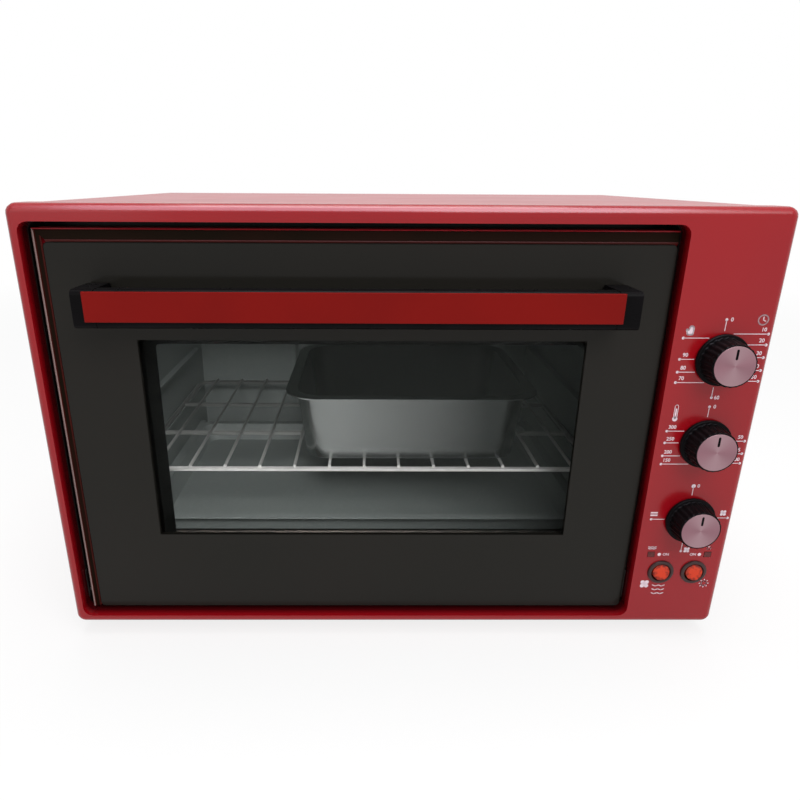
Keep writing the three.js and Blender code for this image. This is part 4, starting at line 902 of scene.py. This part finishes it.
# Printed dial marks, in millimetres from each knob's middle

PRINT_LIFT = 0.06 * MM
LINE_WIDTH = 0.6
STROKE_WIDTH = 0.9
DOT_RADIUS = 1.15
LARGE_DOT_RADIUS = 1.8
LABEL_SIZE = 4.4
WORD_SIZE = 3.6
BOLDER_SHARE = 0.022
LETTER_STEPS = 3
DOT_SIDES = 14
JOINT_SIDES = 8
RING_SIDES = 24


class Print:
    """Flat printed shapes on the control panel, gathered in one thin mesh."""

    def __init__(self, name):
        self.name = name
        self.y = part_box("front_bezel")[0].y - PRINT_LIFT
        self.vertices = []
        self.faces = []

    def shape(self, points):
        start = len(self.vertices)
        self.vertices += [(px * MM, self.y, pz * MM) for px, pz in points]
        self.faces.append((tuple(range(start, start + len(points)))[::-1], 0))

    def dot(self, x, z, radius, sides=DOT_SIDES):
        turns = [2 * math.pi * side / sides for side in range(sides)]
        self.shape([(x + radius * math.cos(t), z + radius * math.sin(t)) for t in turns])

    def line(self, x0, z0, x1, z1, width=LINE_WIDTH):
        along = Vector((x1 - x0, z1 - z0)).normalized()
        across = Vector((-along.y, along.x)) * width / 2
        ends = [(x0, z0, -1), (x1, z1, -1), (x1, z1, 1), (x0, z0, 1)]
        self.shape([(px + across.x * s, pz + across.y * s) for px, pz, s in ends])

    def path(self, points, width=STROKE_WIDTH):
        for (x0, z0), (x1, z1) in zip(points, points[1:]):
            self.line(x0, z0, x1, z1, width)
            self.dot(x1, z1, width / 2, JOINT_SIDES)
        self.dot(*points[0], width / 2, JOINT_SIDES)

    def ring(self, x, z, radius, width=STROKE_WIDTH, start=0, end=360):
        turns = [
            math.radians(start + (end - start) * side / RING_SIDES)
            for side in range(RING_SIDES + 1)
        ]
        self.path([(x + radius * math.cos(t), z + radius * math.sin(t)) for t in turns], width)

    def text(self, body, x, z, size):
        curve = bpy.data.curves.new("figures", "FONT")
        curve.body = body
        curve.size = size
        curve.offset = size * BOLDER_SHARE
        curve.align_x = "CENTER"
        curve.align_y = "CENTER"
        curve.resolution_u = LETTER_STEPS
        holder = bpy.data.objects.new("figures", curve)
        bpy.context.scene.collection.objects.link(holder)
        bpy.context.view_layer.update()
        flat = bpy.data.meshes.new_from_object(holder)
        start = len(self.vertices)
        self.vertices += [
            ((x + v.co.x) * MM, self.y, (z + v.co.y) * MM) for v in flat.vertices
        ]
        for polygon in flat.polygons:
            self.faces.append((tuple(start + i for i in polygon.vertices), 0))
        bpy.data.objects.remove(holder)
        bpy.data.curves.remove(curve)
        bpy.data.meshes.remove(flat)

    def finish(self, material):
        mesh_piece(self.name, self.vertices, self.faces, "cabinet", [material], smooth=False)


def centre_of(name):
    low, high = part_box(name)
    return (low.x + high.x) / 2 / MM, (low.z + high.z) / 2 / MM


# Places of the marks round each dial: rows of (rise, label) left and right, and the lowest label

SIDE_DOT = 33.4
MIDDLE_MARK = -1.8
MARK_TOP = 32.4
MARK_BOTTOM = -32.2
MARK_NEAR = 23.4
LABEL_IN = 4.1
LABEL_RISE = 3.5
MIDDLE_LABEL_OUT = 4.3
SKIRT_CLEAR = 21.8
DIAL_ROWS = {
    "timer": (
        ((17.6, ""), (0.2, "90"), (-10.5, "80"), (-19.3, "70")),
        ((21.0, "10"), (12.2, "20"), (1.8, "30"), (-8.9, "40"), (-18.0, "50")),
        "60",
    ),
    "thermostat": (
        ((10.8, "300"), (0.2, "250"), (-11.7, "200"), (-19.3, "150")),
        ((1.9, "50"), (-9.6, "75"), (-18.4, "100")),
        "",
    ),
    "function": (((0.0, ""),), ((1.4, ""),), ""),
}


def dial(ink, name):
    x, z = centre_of(f"{name}_knob")
    left, right, bottom = DIAL_ROWS[name]
    for side, rows in ((-1, left), (1, right)):
        for rise, label in rows:
            reach = math.sqrt(SKIRT_CLEAR**2 - rise**2)
            ink.dot(x + side * SIDE_DOT, z + rise, DOT_RADIUS)
            ink.line(x + side * SIDE_DOT, z + rise, x + side * reach, z + rise)
            if label:
                ink.text(label, x + side * (SIDE_DOT - LABEL_IN), z + rise + LABEL_RISE, LABEL_SIZE)
    middle = x + MIDDLE_MARK
    top_radius = LARGE_DOT_RADIUS if name == "function" else DOT_RADIUS
    ink.dot(middle, z + MARK_TOP, top_radius)
    ink.line(middle, z + MARK_TOP, middle, z + MARK_NEAR)
    ink.text("0", middle + MIDDLE_LABEL_OUT, z + MARK_TOP, LABEL_SIZE)
    if name != "thermostat":
        ink.dot(middle, z + MARK_BOTTOM, DOT_RADIUS)
        ink.line(middle, z + MARK_BOTTOM, middle, z - MARK_NEAR)
    if bottom:
        ink.text(bottom, middle + MIDDLE_LABEL_OUT, z + MARK_BOTTOM, LABEL_SIZE)


# Generic signs, each drawn round its own middle in millimetres

CLOCK_RADIUS = 3.9
CLOCK_HANDS = ((0.0, 2.4), (0.0, 0.0), (1.9, -1.0))
HAND_OUTLINE = (
    (-2.2, -3.0), (2.0, -3.0), (2.4, 0.6), (2.2, 3.0), (0.9, 4.0), (-0.6, 3.8),
    (-1.4, 2.0), (-1.7, 0.6), (-3.2, 1.4), (-3.6, 0.7), (-2.6, -1.4), (-2.2, -3.0),
)
BULB_RADIUS = 2.2
COLUMN_WIDTH = 1.2
COLUMN_TALL = 9.0
TUBE_OUTLINE = ((-1.4, 1.4), (-1.4, 11.2), (-0.7, 12.2), (0.7, 12.2), (1.4, 11.2), (1.4, 1.4))
TUBE_LINE = 0.5
BAR_HALF = 3.1
BAR_WIDTH = 1.1
BAR_RISE = 1.4
FAN_BLADES = 4
BLADE_OUT_SHARE = 0.62
BLADE_WIDE_SHARE = 0.46
HUB_SHARE = 0.3
WAVE_SHARES = ((-1.0, 0.1), (-0.5, -0.12), (0.0, 0.1), (0.5, -0.12), (1.0, 0.1))
SUN_RADIUS = 2.5
SUN_RAYS = 8
RAY_START = 3.4
RAY_END = 4.4
POWER_RADIUS = 1.7
POWER_LINE = 0.6
POWER_DEGREES = (120, 420)


def clock(ink, x, z):
    ink.ring(x, z, CLOCK_RADIUS)
    ink.path([(x + a, z + b) for a, b in CLOCK_HANDS])


def hand(ink, x, z):
    outline = [(x + a, z + b) for a, b in HAND_OUTLINE]
    ink.shape(outline[:-1])
    ink.path(outline)


def thermometer(ink, x, z):
    ink.dot(x, z, BULB_RADIUS)
    ink.line(x, z, x, z + COLUMN_TALL, COLUMN_WIDTH)
    ink.path([(x + a, z + b) for a, b in TUBE_OUTLINE], TUBE_LINE)


def bars(ink, x, z):
    for rise in (-BAR_RISE, BAR_RISE):
        ink.line(x - BAR_HALF, z + rise, x + BAR_HALF, z + rise, BAR_WIDTH)
    ink.line(x - BAR_HALF, z, x + BAR_HALF, z, TUBE_LINE)


def fan(ink, x, z, reach):
    for blade in range(FAN_BLADES):
        turn = 2 * math.pi * (blade + 0.5) / FAN_BLADES
        out = reach * BLADE_OUT_SHARE
        ink.dot(x + out * math.cos(turn), z + out * math.sin(turn), reach * BLADE_WIDE_SHARE)
    ink.dot(x, z, reach * HUB_SHARE)


def waves(ink, x, z, half, pitch, rows):
    for row in range(rows):
        rise = z + ((rows - 1) / 2 - row) * pitch
        ink.path([(x + half * a, rise + half * b) for a, b in WAVE_SHARES])


def sun(ink, x, z):
    ink.ring(x, z, SUN_RADIUS)
    for ray in range(SUN_RAYS):
        turn = 2 * math.pi * ray / SUN_RAYS
        cos, sin = math.cos(turn), math.sin(turn)
        ends = (x + RAY_START * cos, z + RAY_START * sin, x + RAY_END * cos, z + RAY_END * sin)
        ink.line(*ends, STROKE_WIDTH)


def power(ink, x, z):
    ink.ring(x, z, POWER_RADIUS, POWER_LINE, *POWER_DEGREES)
    ink.line(x, z, x, z + POWER_RADIUS, POWER_LINE)


# Places of the signs, in millimetres from the middle of the piece they belong to

CLOCK_FROM_TIMER = (27.0, 32.3)
HAND_FROM_TIMER = (-28.5, 23.3)
THERMOMETER_FROM_KNOB = (-28.6, 21.7)
BARS_FROM_KNOB = (-31.6, 5.2)
FAN_FROM_KNOB = (28.7, 6.3)
BOTH_FROM_KNOB = (3.2, -31.0)
SMALL_FAN = 2.9
LARGE_FAN = 4.3
ON_DOT_OUT = 7.4
ON_DOT_RADIUS = 1.6
ON_WORD_OUT = 13.2
SIGN_ABOVE_PILOT = 6.8
HEAT_HALF = 3.4
HEAT_PITCH = 1.7
FAN_FROM_SWITCH = (-12.4, -13.2)
WAVES_FROM_SWITCH = (0.6, -19.0)
WAVES_HALF = 5.4
WAVES_PITCH = 4.2
SUN_FROM_SWITCH = (12.0, -12.4)


def beside(name, offset):
    x, z = centre_of(name)
    return x + offset[0], z + offset[1]


def icons(ink):
    clock(ink, *beside("timer_knob", CLOCK_FROM_TIMER))
    hand(ink, *beside("timer_knob", HAND_FROM_TIMER))
    thermometer(ink, *beside("thermostat_knob", THERMOMETER_FROM_KNOB))
    bars(ink, *beside("function_knob", BARS_FROM_KNOB))
    fan(ink, *beside("function_knob", FAN_FROM_KNOB), SMALL_FAN)
    fan(ink, *beside("function_knob", BOTH_FROM_KNOB), SMALL_FAN)


def switch_prints(ink):
    for name, side in (("heating_pilot_lens", 1), ("power_pilot_lens", -1)):
        x, z = centre_of(name)
        ink.dot(x + side * ON_DOT_OUT, z, ON_DOT_RADIUS)
        ink.text("ON", x + side * ON_WORD_OUT, z, WORD_SIZE)
    waves(ink, *beside("heating_pilot_lens", (0.0, SIGN_ABOVE_PILOT)), HEAT_HALF, HEAT_PITCH, 2)
    power(ink, *beside("power_pilot_lens", (0.0, SIGN_ABOVE_PILOT)))
    fan(ink, *beside("fan_switch_body", FAN_FROM_SWITCH), LARGE_FAN)
    waves(ink, *beside("fan_switch_body", WAVES_FROM_SWITCH), WAVES_HALF, WAVES_PITCH, 3)
    sun(ink, *beside("lamp_switch_body", SUN_FROM_SWITCH))


def panel_print():
    ink = Print("panel_print")
    for name in DIAL_ROWS:
        dial(ink, name)
    icons(ink)
    switch_prints(ink)
    ink.finish(print_white())


panel_print()


# Screw heads on the rear cover

SCREW_RADIUS = 3.2 * MM
SCREW_TALL = 1.7 * MM
SCREW_SHOULDER_SHARES = ((1.0, 0.0), (1.0, 0.5), (0.88, 0.85), (0.68, 1.0))
CROSS_ARM = 1.8 * MM
CROSS_HALF_WIDTH = 0.45 * MM
CROSS_DEPTH = 0.8 * MM
CROSS_TAPER_SHARE = 0.75
SCREW_SIDES = 48
SCREW_COLUMNS = 3
SCREW_FROM_SIDE = 12 * MM
SCREW_FROM_EDGE = 5 * MM


def cross_reach(turn):
    """Distance from the middle to the outline of a plus sign."""
    across, along = abs(math.cos(turn)), abs(math.sin(turn))
    across, along = max(across, MERGE_DISTANCE), max(along, MERGE_DISTANCE)
    flat = min(CROSS_ARM / across, CROSS_HALF_WIDTH / along)
    upright = min(CROSS_HALF_WIDTH / across, CROSS_ARM / along)
    return max(flat, upright)


def screw(name, x, y, z):
    """A pan head with a cross recess, facing the rear."""
    turns = [2 * math.pi * side / SCREW_SIDES for side in range(SCREW_SIDES)]
    rings = [
        ([SCREW_RADIUS * out] * SCREW_SIDES, SCREW_TALL * lift)
        for out, lift in SCREW_SHOULDER_SHARES
    ]
    cross = [cross_reach(turn) for turn in turns]
    rings.append((cross, SCREW_TALL))
    rings.append(([CROSS_TAPER_SHARE * reach for reach in cross], SCREW_TALL - CROSS_DEPTH))
    vertices, faces = [], []
    for reaches, lift in rings:
        vertices += [
            (x + reach * math.cos(turn), y + lift, z + reach * math.sin(turn))
            for reach, turn in zip(reaches, turns)
        ]
    for ring in range(len(rings) - 1):
        for side in range(SCREW_SIDES):
            other = (side + 1) % SCREW_SIDES
            here, above = ring * SCREW_SIDES, (ring + 1) * SCREW_SIDES
            faces.append(((here + side, above + side, above + other, here + other), 0))
    last = (len(rings) - 1) * SCREW_SIDES
    faces.append((tuple(range(last, last + SCREW_SIDES))[::-1], 0))
    made = mesh_piece(name, vertices, faces, "cabinet", [SLOTS["bright_steel"]])


def screws():
    low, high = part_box("rear_cover")
    span = high.x - low.x - 2 * SCREW_FROM_SIDE
    for column in range(SCREW_COLUMNS):
        x = low.x + SCREW_FROM_SIDE + span * column / (SCREW_COLUMNS - 1)
        for level, z in (("low", low.z + SCREW_FROM_EDGE), ("high", high.z - SCREW_FROM_EDGE)):
            screw(f"rear_screw_{level}_{column + 1}", x, high.y, z)


screws()


# Floor, world and lights; each lamp is its place, what it is aimed at, its size and its watts

FLOOR_REACH = 6.0
FLOOR_COLOUR = (0.9, 0.9, 0.9, 1.0)
WHITE = (1.0, 1.0, 1.0, 1.0)
FLOOR_GLOW_SHARE = 0.8
FADE_START = 0.7
FADE_END = 2.4
WORLD_LIGHT = 0.35
LAMPS = {
    "key": ((0.7, -1.5, 1.6), (0, 0, 0.25), 1.3, 20),
    "fill": ((-1.1, -1.5, 0.8), (0, 0, 0.2), 1.0, 3),
    "top": ((0.0, -0.1, 2.2), (0, -0.1, 0.35), 1.4, 34),
}
CARD = ((0.0, -1.05, 1.9), (0, -0.18, 0.38), 2.2, 110)
CARD_COLOUR = (1.0, 0.95, 1.12)
CARD_NODES = (
    "front_bezel", "door_pan", "door_rim_top", "door_rim_left", "wire_rack", "baking_pan",
    "timer_knob_body", "thermostat_knob_body", "function_knob_body",
)
INSIDE_PLACE = (-0.05, -0.75, 0.62)
INSIDE_TARGET = (-0.17, -0.1, 0.03)
INSIDE_WATTS = 30
INSIDE_CONE = math.radians(44)
INSIDE_RADIUS = 0.1
INSIDE_NODES = (
    "oven_cavity", "wire_rack", "drip_tray", "fan_guard", "upper_heater",
    "lower_heater", "upper_heater_clip", "lower_heater_clip", "thermostat_sensor",
)


def seen_directly(tree):
    """One for camera, glossy and transmission rays, nothing for the rest."""
    path = tree.nodes.new("ShaderNodeLightPath")
    either = maths(tree, "MAXIMUM", path.outputs["Is Camera Ray"], path.outputs["Is Glossy Ray"])
    return maths(tree, "MAXIMUM", either, path.outputs["Is Transmission Ray"])


def blend(tree, share, first, second, output):
    """Shows the first shader, and the second as far as the share goes."""
    mix = tree.nodes.new("ShaderNodeMixShader")
    tree.links.new(share, mix.inputs[0])
    tree.links.new(first, mix.inputs[1])
    tree.links.new(second, mix.inputs[2])
    tree.links.new(mix.outputs[0], output.inputs["Surface"])


def floor_material():
    """White to the eye, with the shadow kept near the object and fading outwards."""
    material = bpy.data.materials.new("floor")
    material.use_nodes = True
    tree = material.node_tree
    tree.nodes.clear()
    output = tree.nodes.new("ShaderNodeOutputMaterial")
    diffuse = tree.nodes.new("ShaderNodeBsdfDiffuse")
    diffuse.inputs["Color"].default_value = FLOOR_COLOUR
    glow = tree.nodes.new("ShaderNodeEmission")
    glow.inputs["Color"].default_value = WHITE
    glow.inputs["Strength"].default_value = 1.0
    spot = tree.nodes.new("ShaderNodeTexCoord")
    length = tree.nodes.new("ShaderNodeVectorMath")
    length.operation = "LENGTH"
    tree.links.new(spot.outputs["Object"], length.inputs[0])
    fade = tree.nodes.new("ShaderNodeMapRange")
    for index, value in enumerate((FADE_START, FADE_END, FLOOR_GLOW_SHARE, 1.0), start=1):
        fade.inputs[index].default_value = value
    tree.links.new(length.outputs["Value"], fade.inputs[0])
    share = maths(tree, "MULTIPLY", seen_directly(tree), fade.outputs[0])
    blend(tree, share, diffuse.outputs[0], glow.outputs[0], output)
    return material


def floor():
    mesh = bpy.data.meshes.new("floor")
    corners = [(-FLOOR_REACH, -FLOOR_REACH, 0), (FLOOR_REACH, -FLOOR_REACH, 0)]
    corners += [(FLOOR_REACH, FLOOR_REACH, 0), (-FLOOR_REACH, FLOOR_REACH, 0)]
    mesh.from_pydata(corners, [], [(0, 1, 2, 3)])
    mesh.materials.append(floor_material())
    made = bpy.data.objects.new("floor", mesh)
    bpy.context.scene.collection.objects.link(made)


def background(tree, strength):
    node = tree.nodes.new("ShaderNodeBackground")
    node.inputs["Color"].default_value = WHITE
    node.inputs["Strength"].default_value = strength
    return node.outputs[0]


def world():
    made = bpy.data.worlds.new("world")
    bpy.context.scene.world = made
    made.use_nodes = True
    tree = made.node_tree
    tree.nodes.clear()
    output = tree.nodes.new("ShaderNodeOutputWorld")
    soft, seen = background(tree, WORLD_LIGHT), background(tree, 1.0)
    blend(tree, seen_directly(tree), soft, seen, output)


def place_lamp(data, place, target):
    made = bpy.data.objects.new(data.name, data)
    bpy.context.scene.collection.objects.link(made)
    made.location = place
    aim = Vector(target) - Vector(place)
    made.rotation_mode = "QUATERNION"
    made.rotation_quaternion = aim.to_track_quat("-Z", "Y")
    return made


def lamp(name, place, target, size, power_watts):
    data = bpy.data.lights.new(name, "AREA")
    data.size = size
    data.energy = power_watts
    return place_lamp(data, place, target)


def gathered(name, members):
    made = bpy.data.collections.new(name)
    for member in members:
        made.objects.link(bpy.data.objects[member])
    return made


def inside_lamp():
    """A soft cone through the window, aimed at the cavity's lower left.

    The pan shades the pieces behind it, but isn't lit itself.
    """
    data = bpy.data.lights.new("inside", "SPOT")
    data.energy = INSIDE_WATTS
    data.spot_size = INSIDE_CONE
    data.spot_blend = 1.0
    data.shadow_soft_size = INSIDE_RADIUS
    made = place_lamp(data, INSIDE_PLACE, INSIDE_TARGET)
    made.light_linking.receiver_collection = gathered("inside_lit", INSIDE_NODES)
    casting = gathered("inside_casting", INSIDE_NODES + ("baking_pan",))
    made.light_linking.blocker_collection = casting


def card():
    """A bright card above the front, seen only in the gloss of the pieces in CARD_NODES."""
    made = lamp("card", *CARD)
    made.data.color = CARD_COLOUR
    made.visible_diffuse = False
    made.light_linking.receiver_collection = gathered("card_lit", CARD_NODES)


floor()
world()
for lamp_name, settings in LAMPS.items():
    lamp(lamp_name, *settings)
inside_lamp()
card()

bpy.context.scene.view_settings.view_transform = "Standard"
